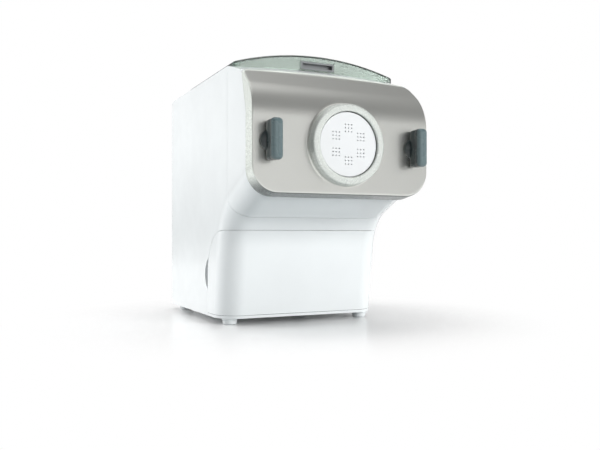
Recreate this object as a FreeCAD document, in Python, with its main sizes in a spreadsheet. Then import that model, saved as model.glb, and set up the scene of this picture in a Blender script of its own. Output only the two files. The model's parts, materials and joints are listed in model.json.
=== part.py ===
import FreeCAD, Part

# Electric pasta maker: mixing trough under a see-through lid, a screw that presses the dough
# through a shaping disc in the front panel, and a drawer for spare discs in the foot.
# Front is -Y, right is +X, up is +Z; the origin is on the floor under the middle of the machine.

import math
import os
import types

import Sketcher
from FreeCAD import Placement, Rotation, Vector

SIZES = {
    # housing form
    "housing_width": 204.0,
    "rear_reach": 169.0,
    "deck_height": 288.0,
    "foot_rise": 7.5,
    "base_thickness": 3.2,
    "wall": 3.0,
    "seam": 0.4,
    "toe_reach": 46.0,
    "knee_reach": 61.0,
    "knee_height": 114.0,
    "knee_radius": 49.0,
    "chin_reach": 130.0,
    "chin_height": 147.5,
    "brow_height": 229.0,
    "crest_reach": 109.5,
    "side_round": 27.0,
    "rear_round": 7.0,
    # split between the front frame and the housing
    "split_reach": 67.0,
    "split_height": 117.5,
    "split_round": 28.0,
    "crown_front_rise": 3.5,
    "crown_rear_rise": 6.0,
    "crown_slope_drop": 17.0,
    # drawer
    "drawer_height": 108.0,
    "drawer_back": 2.0,
    "drawer_round": 50.0,
    "recess_radius": 20.2,
    "recess_centre_back": -7.5,
    "recess_centre_height": 56.0,
    "recess_depth": 8.0,
    "tray_inset": 22.0,
    "tray_front": 40.0,
    "tray_back_gap": 14.0,
    "tray_depth": 72.0,
    "tray_wall": 2.0,
    "bay_gap": 1.0,
    # front panel
    "panel_width": 210.0,
    "panel_face": 148.0,
    "panel_bottom": 142.0,
    "panel_lip_drop": 3.5,
    "panel_bend_height": 227.0,
    "panel_bend_radius": 20.0,
    "panel_top_reach": 123.0,
    "panel_top_height": 271.0,
    "panel_corner": 28.0,
    "panel_top_corner": 8.0,
    "panel_wall": 2.5,
    # drive axis, extrusion tube, disc and ring
    "axis_height": 197.5,
    "tube_bore": 26.0,
    "tube_wall": 4.0,
    "nose_radius": 35.5,
    "nose_start": 131.5,
    "disc_face": 155.9,
    "disc_radius": 33.7,
    "disc_rim_thickness": 2.0,
    "disc_rim_back": 149.0,
    "hole_radius": 0.75,
    "hole_pitch": 3.7,
    "hole_circle": 17.0,
    "ring_radius": 42.0,
    "ring_face": 158.5,
    "ring_gap": 0.6,
    "ring_lip": 6.0,
    "ring_cove": 3.0,
    # knobs
    "knob_spacing": 171.0,
    "knob_hub_radius": 12.5,
    "knob_hub_height": 3.6,
    "knob_reach": 169.0,
    "knob_length": 41.5,
    "knob_thickness": 12.5,
    "knob_round": 3.0,
    "stud_radius": 3.0,
    "stud_length": 44.0,
    "running_gap": 0.06,
    "free_gap": 0.3,
    # mixing chamber
    "chamber_radius": 64.0,
    "chamber_front": 58.0,
    "works_depth": 107.0,
    "chamber_wall": 2.5,
    "chamber_rim": 2.0,
    # lid
    "lid_inset": 1.5,
    "lid_front": 85.0,
    "lid_overhang": 27.5,
    "lid_gap": 0.6,
    "lid_top": 305.3,
    "lid_arch": 335.0,
    "lid_wall": 2.0,
    "lid_corner": 15.0,
    "lid_edge": 1.2,
    "hinge_setback": 4.5,
    "hinge_height": 293.5,
    "hinge_spacing": 120.0,
    "hinge_pin_radius": 2.0,
    "hinge_lug_width": 14.0,
    "hinge_lug_radius": 3.8,
    "hinge_ear_width": 4.0,
    "handle_width": 42.0,
    "handle_height": 9.0,
    "handle_depth": 8.0,
    "slot_length": 34.0,
    "slot_width": 4.0,
    "slot_pitch": 13.0,
    # rear cover
    "cover_side_inset": 16.0,
    "cover_low_inset": 8.0,
    "cover_top_inset": 20.0,
    "cover_ledge": 5.0,
    # screw and paddle
    "core_radius": 9.5,
    "flight_radius": 25.0,
    "flight_pitch": 31.0,
    "flight_root": 6.0,
    "flight_tip": 3.0,
    "flight_back": 14.0,
    "flight_front": 138.0,
    "screw_front": 144.0,
    "paddle_reach": 60.0,
    "paddle_hub_radius": 15.0,
    "paddle_arm": 7.0,
    # gear train
    "plate_gap": 10.0,
    "plate_thickness": 3.0,
    "gear_width": 12.0,
    "gear_module": 1.75,
    "wheel_module": 1.25,
    "shaft_radius": 6.0,
    "idler_shaft_radius": 4.0,
    "idler_offset": 20.0,
    "gearcase_depth": 31.0,
    "motor_radius": 42.0,
    "motor_length": 45.0,
    "motor_shaft_radius": 3.5,
    "fan_radius": 34.0,
    # control panel
    "control_back": 0.0,
    "control_height": 226.0,
    "control_length": 104.0,
    "control_tall": 58.0,
    "control_proud": 0.8,
    "button_radius": 5.5,
    "button_pitch": 22.0,
    "button_travel": 1.0,
    "button_proud": 1.4,
    # feet
    "foot_radius": 9.25,
    "foot_front_reach": 30.0,
    "foot_back_inset": 22.0,
    "foot_side_inset": 16.0,
}

IDLER_TEETH = 14
OUTPUT_TEETH = 50
PINION_TEETH = 14
WHEEL_TEETH = 62


class Size:
    """A length with its number and the sheet expression that gives it."""

    def __init__(self, number, text):
        self.number = number
        self.text = text

    def __add__(self, other):
        return combined(self, "+", other)

    def __radd__(self, other):
        return combined(other, "+", self)

    def __sub__(self, other):
        return combined(self, "-", other)

    def __rsub__(self, other):
        return combined(other, "-", self)

    def __mul__(self, other):
        return combined(self, "*", other)

    def __rmul__(self, other):
        return combined(other, "*", self)

    def __truediv__(self, other):
        return combined(self, "/", other)

    def __neg__(self):
        return combined(0.0, "-", self)

    def __float__(self):
        return self.number


def as_size(value):
    return value if isinstance(value, Size) else Size(float(value), repr(float(value)))


def combined(left, sign, right):
    left, right = as_size(left), as_size(right)
    numbers = {
        "+": left.number + right.number,
        "-": left.number - right.number,
        "*": left.number * right.number,
        "/": left.number / right.number if right.number else 0.0,
    }
    return Size(numbers[sign], f"({left.text} {sign} {right.text})")


doc = FreeCAD.newDocument("PastaMaker")
sheet = doc.addObject("Spreadsheet::Sheet", "Sizes")
for row, (word, value) in enumerate(SIZES.items(), 1):
    sheet.set(f"A{row}", word)
    sheet.set(f"B{row}", str(value))
    sheet.setAlias(f"B{row}", word)
doc.recompute()
s = types.SimpleNamespace(**{word: Size(float(sheet.get(word)), f"Sizes.{word}") for word in SIZES})

FORWARD = Rotation(Vector(1, 0, 0), 90)
BACKWARD = Rotation(Vector(1, 0, 0), -90)
RIGHTWARD = Rotation(Vector(0, 1, 0), 90)
UPWARD = Rotation()

nodes = []


def node(item, label):
    """Give a finished sub-part the name that its file takes."""
    item.Label = label
    nodes.append(item)
    return item


def bind(item, field, value):
    item.setExpression(field, as_size(value).text)


def place(item, x=0.0, y=0.0, z=0.0, turn=UPWARD):
    item.Placement = Placement(Vector(float(x), float(y), float(z)), turn)
    bind(item, "Placement.Base.x", x)
    bind(item, "Placement.Base.y", y)
    bind(item, "Placement.Base.z", z)
    return item


# Part primitives and booleans

def block(x0, x1, y0, y1, z0, z1):
    """A box between two corners."""
    box = doc.addObject("Part::Box", "Block")
    bind(box, "Length", as_size(x1) - x0)
    bind(box, "Width", as_size(y1) - y0)
    bind(box, "Height", as_size(z1) - z0)
    return place(box, x0, y0, z0)


def rod(radius, length, x, y, z, turn=UPWARD):
    """A cylinder from a centre along the turned axis."""
    bar = doc.addObject("Part::Cylinder", "Rod")
    bind(bar, "Radius", radius)
    bind(bar, "Height", length)
    return place(bar, x, y, z, turn)


def cone(radius_1, radius_2, length, x, y, z, turn=UPWARD):
    bar = doc.addObject("Part::Cone", "Cone")
    bind(bar, "Radius1", radius_1)
    bind(bar, "Radius2", radius_2)
    bind(bar, "Height", length)
    return place(bar, x, y, z, turn)


def fused(*items):
    joined = doc.addObject("Part::MultiFuse", "Fused")
    joined.Shapes = list(items)
    return joined


def grouped(*items):
    """Separate solids kept side by side in one sub-part."""
    group = doc.addObject("Part::Compound", "Group")
    group.Links = list(items)
    return group


def cut(base, *tools):
    remains = doc.addObject("Part::Cut", "Cut")
    remains.Base = base
    remains.Tool = tools[0] if len(tools) == 1 else fused(*tools)
    return remains


def shared(first, second):
    overlap = doc.addObject("Part::Common", "Shared")
    overlap.Base = first
    overlap.Tool = second
    return overlap


# Part design helpers

def new_body(name):
    return doc.addObject("PartDesign::Body", name)


def sketch_on(body, plane_role, lift=0.0):
    """A sketch on one of the body's own origin planes, lifted along the plane's normal."""
    sketch = body.newObject("Sketcher::SketchObject", "Outline")
    plane = next(item for item in body.Origin.OriginFeatures if item.Role == plane_role)
    sketch.AttachmentSupport = [(plane, "")]
    sketch.MapMode = "FlatFace"
    bind(sketch, "AttachmentOffset.Base.z", lift)
    return sketch


def fixed_point(sketch, geometry, spot, x, y):
    """Hold a point of a sketch at a place given by the sheet."""
    for kind, value in (("DistanceX", x), ("DistanceY", y)):
        index = sketch.addConstraint(Sketcher.Constraint(kind, -1, 1, geometry, spot, float(value)))
        bind(sketch, f"Constraints[{index}]", value)


def circle(sketch, x, y, radius):
    index = sketch.addGeometry(Part.Circle(Vector(float(x), float(y), 0), Vector(0, 0, 1), float(radius)))
    fixed_point(sketch, index, 3, x, y)
    row = sketch.addConstraint(Sketcher.Constraint("Radius", index, float(radius)))
    bind(sketch, f"Constraints[{row}]", radius)


def outline(sketch, corners):
    """A closed outline through corners (x, y) or (x, y, radius), each held by the sheet."""
    corners = [tuple(corner) + (None,) * (3 - len(corner)) for corner in corners]
    spots = [Vector(float(x), float(y), 0) for x, y, _ in corners]
    count = len(corners)
    entries, exits, arcs = [], [], []
    for i, (_, _, radius) in enumerate(corners):
        if radius is None:
            entries.append(spots[i])
            exits.append(spots[i])
            arcs.append(None)
            continue
        back = (spots[i - 1] - spots[i]).normalize()
        ahead = (spots[(i + 1) % count] - spots[i]).normalize()
        half = back.getAngle(ahead) / 2
        reach = float(radius) / math.tan(half)
        centre = spots[i] + (back + ahead).normalize() * (float(radius) / math.sin(half))
        entries.append(spots[i] + back * reach)
        exits.append(spots[i] + ahead * reach)
        arcs.append((centre, back.cross(ahead).z < 0))
    lines = [
        sketch.addGeometry(Part.LineSegment(exits[i], entries[(i + 1) % count])) for i in range(count)
    ]
    for i, (x, y, radius) in enumerate(corners):
        before, after = lines[i - 1], lines[i]
        if radius is None:
            sketch.addConstraint(Sketcher.Constraint("Coincident", before, 2, after, 1))
            fixed_point(sketch, after, 1, x, y)
            continue
        centre, turns_left = arcs[i]
        start, end = (entries[i], exits[i]) if turns_left else (exits[i], entries[i])
        first = math.atan2(start.y - centre.y, start.x - centre.x)
        last = math.atan2(end.y - centre.y, end.x - centre.x)
        ring = Part.Circle(centre, Vector(0, 0, 1), float(radius))
        arc = sketch.addGeometry(Part.ArcOfCircle(ring, first, last))
        mark = sketch.addGeometry(Part.Point(spots[i]), True)
        sketch.addConstraint(Sketcher.Constraint("Tangent", before, 2, arc, 1 if turns_left else 2))
        sketch.addConstraint(Sketcher.Constraint("Tangent", arc, 2 if turns_left else 1, after, 1))
        sketch.addConstraint(Sketcher.Constraint("PointOnObject", mark, 1, before))
        sketch.addConstraint(Sketcher.Constraint("PointOnObject", mark, 1, after))
        fixed_point(sketch, mark, 1, x, y)
        row = sketch.addConstraint(Sketcher.Constraint("Radius", arc, float(radius)))
        bind(sketch, f"Constraints[{row}]", radius)
    return sketch


def rectangle(sketch, x0, x1, y0, y1, radius=None):
    return outline(sketch, [(x0, y0, radius), (x1, y0, radius), (x1, y1, radius), (x0, y1, radius)])


def arched(sketch, half_width, base, top, arch):
    """A flat-based outline with upright sides under one arc, symmetric about the middle."""
    sagitta = float(arch) - math.sqrt(float(arch) ** 2 - float(half_width) ** 2)
    left, right = Vector(-float(half_width), 0, 0), Vector(float(half_width), 0, 0)
    low, high = Vector(0, float(base), 0), Vector(0, float(top) - sagitta, 0)
    centre = Vector(0, float(top) - float(arch), 0)
    spread = math.asin(float(half_width) / float(arch))
    floor = sketch.addGeometry(Part.LineSegment(left + low, right + low))
    side = sketch.addGeometry(Part.LineSegment(right + low, right + high))
    ring = Part.Circle(centre, Vector(0, 0, 1), float(arch))
    roof = sketch.addGeometry(Part.ArcOfCircle(ring, math.pi / 2 - spread, math.pi / 2 + spread))
    other = sketch.addGeometry(Part.LineSegment(left + high, left + low))
    for first, spot, second, end in ((floor, 2, side, 1), (side, 2, roof, 1), (roof, 2, other, 1),
                                     (other, 2, floor, 1)):
        sketch.addConstraint(Sketcher.Constraint("Coincident", first, spot, second, end))
    sketch.addConstraint(Sketcher.Constraint("Vertical", side))
    sketch.addConstraint(Sketcher.Constraint("Vertical", other))
    fixed_point(sketch, floor, 1, -as_size(half_width), base)
    fixed_point(sketch, floor, 2, half_width, base)
    fixed_point(sketch, roof, 3, 0.0, as_size(top) - arch)
    row = sketch.addConstraint(Sketcher.Constraint("Radius", roof, float(arch)))
    bind(sketch, f"Constraints[{row}]", arch)
    return sketch


def solid_feature(body, kind, sketch, length, both=False, back=False):
    feature = body.newObject(f"PartDesign::{kind}", kind)
    feature.Profile = sketch
    bind(feature, "Length", length)
    feature.SideType = "Symmetric" if both else "One side"
    feature.Reversed = back
    return feature


def pad(body, sketch, length, both=False, back=False):
    return solid_feature(body, "Pad", sketch, length, both, back)


def pocket(body, sketch, length, both=False, back=False):
    """A pocket, with a check that it really took something away."""
    doc.recompute()
    before = body.Shape.Volume
    feature = solid_feature(body, "Pocket", sketch, length, both, back)
    doc.recompute()
    if body.Shape.Volume > before - 0.01:
        raise RuntimeError(f"a pocket of {body.Name} cuts nothing")
    return feature


def turned(body, sketch, axis_role):
    """A full turn of a sketch about one of the body's own axes."""
    feature = body.newObject("PartDesign::Revolution", "Turned")
    feature.Profile = sketch
    axis = next(item for item in body.Origin.OriginFeatures if item.Role == axis_role)
    feature.ReferenceAxis = (axis, [""])
    feature.Angle = 360
    return feature


def dress(body, kind, wanted, field, value):
    """A fillet or chamfer on the edges of the body's tip that the test picks."""
    doc.recompute()
    tip = body.Tip
    names = [f"Edge{i}" for i, edge in enumerate(tip.Shape.Edges, 1) if wanted(edge)]
    feature = body.newObject(f"PartDesign::{kind}", kind)
    feature.Base = (tip, names)
    bind(feature, field, value)
    doc.recompute()
    return feature


def rounded(body, wanted, radius):
    return dress(body, "Fillet", wanted, "Radius", radius)


def runs_along(edge, direction):
    """True for a straight edge along a direction."""
    return edge.Curve.TypeId == "Part::GeomLine" and abs(edge.Curve.Direction.dot(direction)) > 0.999


X, Y, Z = Vector(1, 0, 0), Vector(0, 1, 0), Vector(0, 0, 1)

half_width = s.housing_width / 2
floor_top = s.foot_rise + s.base_thickness
slope = s.crown_slope_drop / (s.panel_top_reach - s.split_reach)
chamber_back = s.rear_reach - s.works_depth
plate_back = chamber_back + s.plate_gap
lid_back = chamber_back + s.lid_overhang
lid_half_width = half_width - s.lid_inset
lid_base = s.deck_height + s.lid_gap
hinge_back = lid_back + s.hinge_setback


def housing_form(name, top):
    """The whole white body as one block, from the foot up the swept neck to the chin."""
    body = new_body(name)
    sketch = sketch_on(body, "YZ_Plane")
    outline(sketch, [
        (-s.toe_reach, s.foot_rise),
        (s.rear_reach, s.foot_rise),
        (s.rear_reach, top),
        (-s.crest_reach, top),
        (-s.crest_reach, s.deck_height - (s.crest_reach - s.split_reach) * slope),
        (-s.chin_reach, s.brow_height),
        (-s.chin_reach, s.chin_height),
        (-s.knee_reach, s.knee_height, s.knee_radius),
    ])
    pad(body, sketch, s.housing_width, both=True)

    def front_side_edge(edge):
        box = edge.BoundBox
        on_side = abs(abs(box.Center.x) - float(half_width)) < 0.01
        low_front = box.YMax < -float(s.toe_reach) + 0.1 and box.ZMax < float(s.chin_height) + 0.1
        return on_side and box.XLength < 0.01 and low_front and box.ZLength > 1

    rounded(body, front_side_edge, s.side_round)

    def rear_edge(edge):
        return runs_along(edge, Z) and edge.BoundBox.YMin > float(s.rear_reach) - 0.1

    rounded(body, rear_edge, s.rear_round)
    return body


def shell_of(form, name):
    """The form hollowed to its wall, open at the floor."""
    doc.recompute()
    shell = doc.addObject("Part::Thickness", name)
    shell.Faces = (form, [
        f"Face{i}" for i, face in enumerate(form.Shape.Faces, 1)
        if face.BoundBox.ZMax < float(s.foot_rise) + 0.01
    ])
    bind(shell, "Value", -s.wall)
    shell.Mode = "Skin"
    shell.Join = "Intersection"
    doc.recompute()
    return shell


def split_region(name, grow):
    """The space of the front frame: ahead of the upright seam and above the neck seam."""
    body = new_body(name)
    sketch = sketch_on(body, "YZ_Plane")
    outline(sketch, [
        (-s.split_reach + grow, s.split_height - grow, s.split_round),
        (-s.split_reach + grow, s.deck_height + 40),
        (-s.chin_reach - 40, s.deck_height + 40),
        (-s.chin_reach - 40, s.split_height - grow),
    ])
    pad(body, sketch, s.housing_width + 40, both=True)
    return body


def drawer_region(name, grow):
    """The space of the drawer: the foot ahead of its rounded side seam."""
    body = new_body(name)
    sketch = sketch_on(body, "YZ_Plane")
    outline(sketch, [
        (s.drawer_back + grow, s.foot_rise - 20),
        (s.drawer_back + grow, s.drawer_height + grow, s.drawer_round),
        (-s.toe_reach - 60, s.drawer_height + grow),
        (-s.toe_reach - 60, s.foot_rise - 20),
    ])
    pad(body, sketch, s.housing_width + 40, both=True)
    return body


def crown_form(name):
    """Everything under the crowned brow that climbs from the panel's top edge to the lid."""
    body = new_body(name)
    sections = (
        (s.split_reach - 1, s.deck_height, s.crown_rear_rise),
        (s.chin_reach + 40, s.deck_height - (s.chin_reach + 40 - s.split_reach) * slope,
         s.crown_front_rise / 2),
    )
    sketches = []
    for reach, edge_height, rise in sections:
        sketch = sketch_on(body, "XZ_Plane", reach)
        half = s.panel_width / 2 + 5
        left = sketch.addGeometry(Part.LineSegment(Vector(-float(half), float(edge_height), 0),
                                                   Vector(-float(half), 0, 0)))
        floor = sketch.addGeometry(Part.LineSegment(Vector(-float(half), 0, 0),
                                                    Vector(float(half), 0, 0)))
        right = sketch.addGeometry(Part.LineSegment(Vector(float(half), 0, 0),
                                                    Vector(float(half), float(edge_height), 0)))
        roof = sketch.addGeometry(Part.Arc(Vector(float(half), float(edge_height), 0),
                                           Vector(0, float(edge_height + rise), 0),
                                           Vector(-float(half), float(edge_height), 0)))
        for first, second in ((left, floor), (floor, right)):
            sketch.addConstraint(Sketcher.Constraint("Coincident", first, 2, second, 1))
        sketch.addConstraint(Sketcher.Constraint("Coincident", right, 2, roof, 1))
        sketch.addConstraint(Sketcher.Constraint("Coincident", roof, 2, left, 1))
        fixed_point(sketch, floor, 1, -half, 0.0)
        fixed_point(sketch, floor, 2, half, 0.0)
        fixed_point(sketch, right, 2, half, edge_height)
        fixed_point(sketch, left, 1, -half, edge_height)
        peak = sketch.addGeometry(Part.Point(Vector(0, float(edge_height + rise), 0)), True)
        fixed_point(sketch, peak, 1, 0.0, edge_height + rise)
        sketch.addConstraint(Sketcher.Constraint("PointOnObject", peak, 1, roof))
        sketches.append(sketch)
    loft = body.newObject("PartDesign::AdditiveLoft", "Brow")
    loft.Profile = sketches[0]
    loft.Sections = sketches[1:]
    loft.Ruled = True
    return body


# White shells, all cut from the one housing form so that their seams follow each other

form = housing_form("HousingForm", s.deck_height)
shell = shell_of(form, "HousingShell")


def knob_places():
    return [(side, side * s.knob_spacing / 2) for side in (-1, 1)]


# Screw places, where the housing has bosses and the base plate has holes
boss_radius = 6.0
boss_height = 12.0
screw_radius = 1.7
boss_inset = s.wall + boss_radius - 0.5
base_screw_places = [
    (-half_width + boss_inset, as_size(20)),
    (half_width - boss_inset, as_size(20)),
    (as_size(-42), s.rear_reach - boss_inset),
    (as_size(42), s.rear_reach - boss_inset),
]
screw_bosses = [
    cut(rod(boss_radius, boss_height, x, y, floor_top), rod(screw_radius, boss_height, x, y, floor_top))
    for x, y in base_screw_places
]

# The top deck lies between the side walls and carries the trough's rim and the lid's hinge ears
deck_space = block(-half_width + s.wall, half_width - s.wall, -s.toe_reach - 40, s.rear_reach - s.wall,
                   s.deck_height - s.wall, s.deck_height + 10)
well_half = s.chamber_radius + s.chamber_wall + s.free_gap
deck_opening = block(-well_half, well_half, -s.chamber_front - s.chamber_wall - s.free_gap,
                     chamber_back + s.chamber_wall + s.free_gap, s.deck_height - 10, s.deck_height + 10)
control_half_long = s.control_length / 2 - 4
control_half_tall = s.control_tall / 2 - 4
control_window = block(half_width - 10, half_width + 10,
                       s.control_back - control_half_long, s.control_back + control_half_long,
                       s.control_height - control_half_tall, s.control_height + control_half_tall)
gland_height = 34.0
gland_x = -60.0
gland_radius = 7.0
cover_half = half_width - s.cover_side_inset
cover_low = floor_top + s.cover_low_inset
cover_high = s.deck_height - s.cover_top_inset
cover_rebate = block(-cover_half, cover_half, s.rear_reach - s.wall / 2, s.rear_reach + 10,
                     cover_low, cover_high)
cover_opening = block(-cover_half + s.cover_ledge, cover_half - s.cover_ledge, s.rear_reach - 2 * s.wall,
                      s.rear_reach + 10, cover_low + s.cover_ledge, cover_high - s.cover_ledge)
floor_cut = block(-200, 200, -200, 200, -5, floor_top)
recess_cups = []
recess_hollows = []
for side in (-1, 1):
    outer = rod(s.recess_radius + 2, s.recess_depth + 2, side * half_width, s.recess_centre_back,
                s.recess_centre_height, Rotation(Vector(0, 1, 0), -side * 90))
    hollow = rod(s.recess_radius, s.recess_depth + 5, side * (half_width + 5), s.recess_centre_back,
                 s.recess_centre_height, Rotation(Vector(0, 1, 0), -side * 90))
    recess_cups.append(outer)
    recess_hollows.append(hollow)
hinge_centres = [side * s.hinge_spacing / 2 for side in (-1, 1)]
ears = []
for x in hinge_centres:
    for side in (-1, 1):
        middle = x + side * (s.hinge_lug_width / 2 + s.free_gap + s.hinge_ear_width / 2)
        ears.append(block(middle - s.hinge_ear_width / 2, middle + s.hinge_ear_width / 2,
                          hinge_back - 3.4, hinge_back + 3.4, s.deck_height - 1, s.hinge_height))
        ears.append(rod(3.4, s.hinge_ear_width, middle - s.hinge_ear_width / 2, hinge_back,
                        s.hinge_height, RIGHTWARD))
pin_holes = [
    rod(s.hinge_pin_radius, s.hinge_lug_width + 2 * s.hinge_ear_width + 4,
        x - s.hinge_lug_width / 2 - s.hinge_ear_width - 2, hinge_back, s.hinge_height, RIGHTWARD)
    for x in hinge_centres
]
split_space = split_region("SplitSpaceWide", s.seam)
main_housing = node(
    cut(
        fused(shell, *recess_cups, *screw_bosses),
        split_space,
        drawer_region("DrawerSpaceWide", s.seam),
        deck_space, control_window, floor_cut, cover_rebate, cover_opening, *recess_hollows,
    ),
    "main_housing",
)
top_deck = node(
    cut(fused(shared(shell, deck_space), *ears), split_space, deck_opening, *pin_holes),
    "top_deck",
)

# The rear cover sits in the housing's rebate, with the air slots and the hole for the cord gland
rear_cover = node(
    cut(
        block(-cover_half + s.seam / 2, cover_half - s.seam / 2, s.rear_reach - s.wall / 2, s.rear_reach,
              cover_low + s.seam / 2, cover_high - s.seam / 2),
        rod(gland_radius, 20, gland_x, s.rear_reach + 5, gland_height, FORWARD),
        *[block(x - 2.2, x + 2.2, s.rear_reach - 10, s.rear_reach + 10, 62, 122)
          for x in range(-40, 41, 10)],
    ),
    "rear_cover",
)

# The base plate takes the form's footprint
base_holes = [rod(screw_radius, 20, x, y, 0) for x, y in base_screw_places]
base_slots = [
    block(x - 2, x + 2, plate_back + 24, plate_back + 64, 0, 20) for x in range(-35, 36, 10)
]
base_plate = node(
    cut(
        shared(form, block(-200, 200, -200, 200, s.foot_rise, floor_top)),
        *base_holes, *base_slots,
    ),
    "base_plate",
)

# The front frame: the brow and chin ahead of the upright seam, closed by its front wall
head_form = housing_form("HeadForm", s.deck_height + 20)
lid_seat = block(-200, 200, -s.lid_front - s.seam, 0, s.deck_height, s.deck_height + 40)
lid_seat_inside = block(-200, 200, -s.lid_front - s.seam - s.wall, 0, s.deck_height - s.wall,
                        s.deck_height + 40)
head_solid = cut(
    shared(shared(head_form, crown_form("CrownForm")), split_region("SplitSpace", 0.0)),
    lid_seat,
)
low_crown = crown_form("CrownInside")
place(low_crown, 0.0, 0.0, -s.wall)
head_inside = cut(shared(cut(head_form, shell_of(head_form, "HeadFormShell")), low_crown), lid_seat_inside)
head_shell = cut(head_solid, head_inside)
tube_radius = s.tube_bore + s.tube_wall
frame_bosses = [
    rod(s.knob_hub_radius - 3, 10, x, -s.chin_reach + s.wall + 10, s.axis_height, FORWARD)
    for _, x in knob_places()
]
stud_holes = [
    rod(s.stud_radius, 40, x, -s.chin_reach + 20, s.axis_height, FORWARD) for _, x in knob_places()
]
tube_hole = rod(tube_radius + 1, 30, 0, -s.chin_reach + 15, s.axis_height, FORWARD)
front_frame = node(cut(fused(head_shell, *frame_bosses), tube_hole, *stud_holes), "front_frame")

# Two threaded studs that the knobs screw on to
studs = [
    rod(s.stud_radius, s.stud_length, x, -s.chin_reach + s.wall + 10, s.axis_height, FORWARD)
    for _, x in knob_places()
]
panel_studs = node(grouped(*studs), "panel_studs")


def panel_form(name, inset):
    """The front panel as a block: leaning face, bent brow and big lower corners."""
    side = new_body(f"{name}Side")
    sketch = sketch_on(side, "YZ_Plane")
    lean = (s.panel_face - s.panel_top_reach) / (s.panel_top_height - s.panel_bend_height)
    above = 16.0
    top = s.panel_top_height + above
    outline(sketch, [
        (-s.panel_face + inset, s.panel_bottom + s.panel_lip_drop + inset),
        (-s.chin_reach - s.seam, s.panel_bottom + inset),
        (-s.chin_reach - s.seam, s.brow_height),
        (-s.crest_reach - s.seam, s.deck_height - (s.crest_reach - s.split_reach) * slope),
        (-s.crest_reach - s.seam, top),
        (-s.panel_top_reach + above * lean + inset * 1.15, top),
        (-s.panel_face + inset, s.panel_bend_height - inset * 0.3, s.panel_bend_radius),
    ])
    pad(side, sketch, s.panel_width - 2 * inset, both=True)
    front = new_body(f"{name}Front")
    sketch = sketch_on(front, "XZ_Plane")
    half = s.panel_width / 2 - inset
    outline(sketch, [
        (-half, s.panel_bottom + inset, s.panel_corner - inset),
        (half, s.panel_bottom + inset, s.panel_corner - inset),
        (half, s.panel_top_height + 1.5 - inset, s.panel_top_corner - inset),
        (half - 25, s.panel_top_height + 30),
        (-half + 25, s.panel_top_height + 30),
        (-half, s.panel_top_height + 1.5 - inset, s.panel_top_corner - inset),
    ])
    pad(front, sketch, s.panel_face + 20)
    return shared(side, front)


panel_block = shared(panel_form("PanelForm", 0.0), crown_form("PanelCrown"))
low_panel_crown = crown_form("PanelCrownInside")
place(low_panel_crown, 0.0, 0.0, -s.panel_wall)
panel_hollow = shared(panel_form("PanelInside", s.panel_wall), low_panel_crown)
shank_radius = s.stud_radius * 2
panel_holes = [rod(s.nose_radius + 1, 40, 0, -s.chin_reach, s.axis_height, FORWARD)]
panel_holes += [
    rod(shank_radius + s.free_gap, 40, x, -s.chin_reach, s.axis_height, FORWARD) for _, x in knob_places()
]
front_panel = node(cut(panel_block, panel_hollow, *panel_holes), "front_panel")


def around_drive(body):
    """Put a body that was made about its own Y axis on the drive axis."""
    return place(body, 0.0, 0.0, s.axis_height)


# The raised ring of the panel: its lip holds the shaping disc on the tube's nose
body = new_body("Ring")
lip_radius = s.disc_radius + s.ring_gap
lip_back = s.disc_rim_back + s.disc_rim_thickness + 0.5
outline(sketch_on(body, "YZ_Plane"), [
    (-s.panel_face, s.nose_radius + s.ring_gap),
    (-lip_back, s.nose_radius + s.ring_gap),
    (-lip_back, lip_radius),
    (-s.ring_face, lip_radius),
    (-s.ring_face, s.ring_radius, 1.4),
    (-s.panel_face - s.ring_cove, s.ring_radius),
    (-s.panel_face, s.ring_radius + s.ring_cove / 2),
])
turned(body, body.Group[0], "Y_Axis")
panel_ring = node(around_drive(body), "panel_ring")


def disc_blank(body, face):
    """A dished shaping disc with its rim, the face looking forward."""
    thin = 3.5
    back = s.disc_face - s.disc_rim_back
    outline(sketch_on(body, "YZ_Plane"), [
        (-face, 0.0),
        (-face, s.disc_radius, 0.6),
        (-face + back - s.disc_rim_thickness, s.disc_radius),
        (-face + back - s.disc_rim_thickness, s.nose_radius),
        (-face + back, s.nose_radius),
        (-face + back, s.tube_bore + 2),
        (-face + thin, s.tube_bore + 2),
        (-face + thin, 0.0),
    ])
    turned(body, body.Group[0], "Y_Axis")
    return body


# The shaping disc: six squares of nine small holes for round strands
body = disc_blank(new_body("Disc"), s.disc_face)
sketch = sketch_on(body, "XZ_Plane", s.disc_face)
for group in range(6):
    angle = math.radians(30 + 60 * group)
    for step_x in (-1, 0, 1):
        for step_z in (-1, 0, 1):
            circle(sketch, s.hole_circle * round(math.cos(angle), 6) + step_x * s.hole_pitch,
                   s.hole_circle * round(math.sin(angle), 6) + step_z * s.hole_pitch, s.hole_radius)
pocket(body, sketch, 10, both=True)
shaping_disc = node(around_drive(body), "shaping_disc")


# The extrusion tube from the trough through the front frame to the disc
tube_back = s.chamber_front + s.chamber_wall
body = new_body("Tube")
outline(sketch_on(body, "YZ_Plane"), [
    (-tube_back, s.tube_bore),
    (-s.disc_rim_back, s.tube_bore),
    (-s.disc_rim_back, s.nose_radius),
    (-s.nose_start, s.nose_radius),
    (-s.nose_start + 1.2, tube_radius),
    (-tube_back, tube_radius),
])
turned(body, body.Group[0], "Y_Axis")
extrusion_tube = node(around_drive(body), "extrusion_tube")


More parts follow.
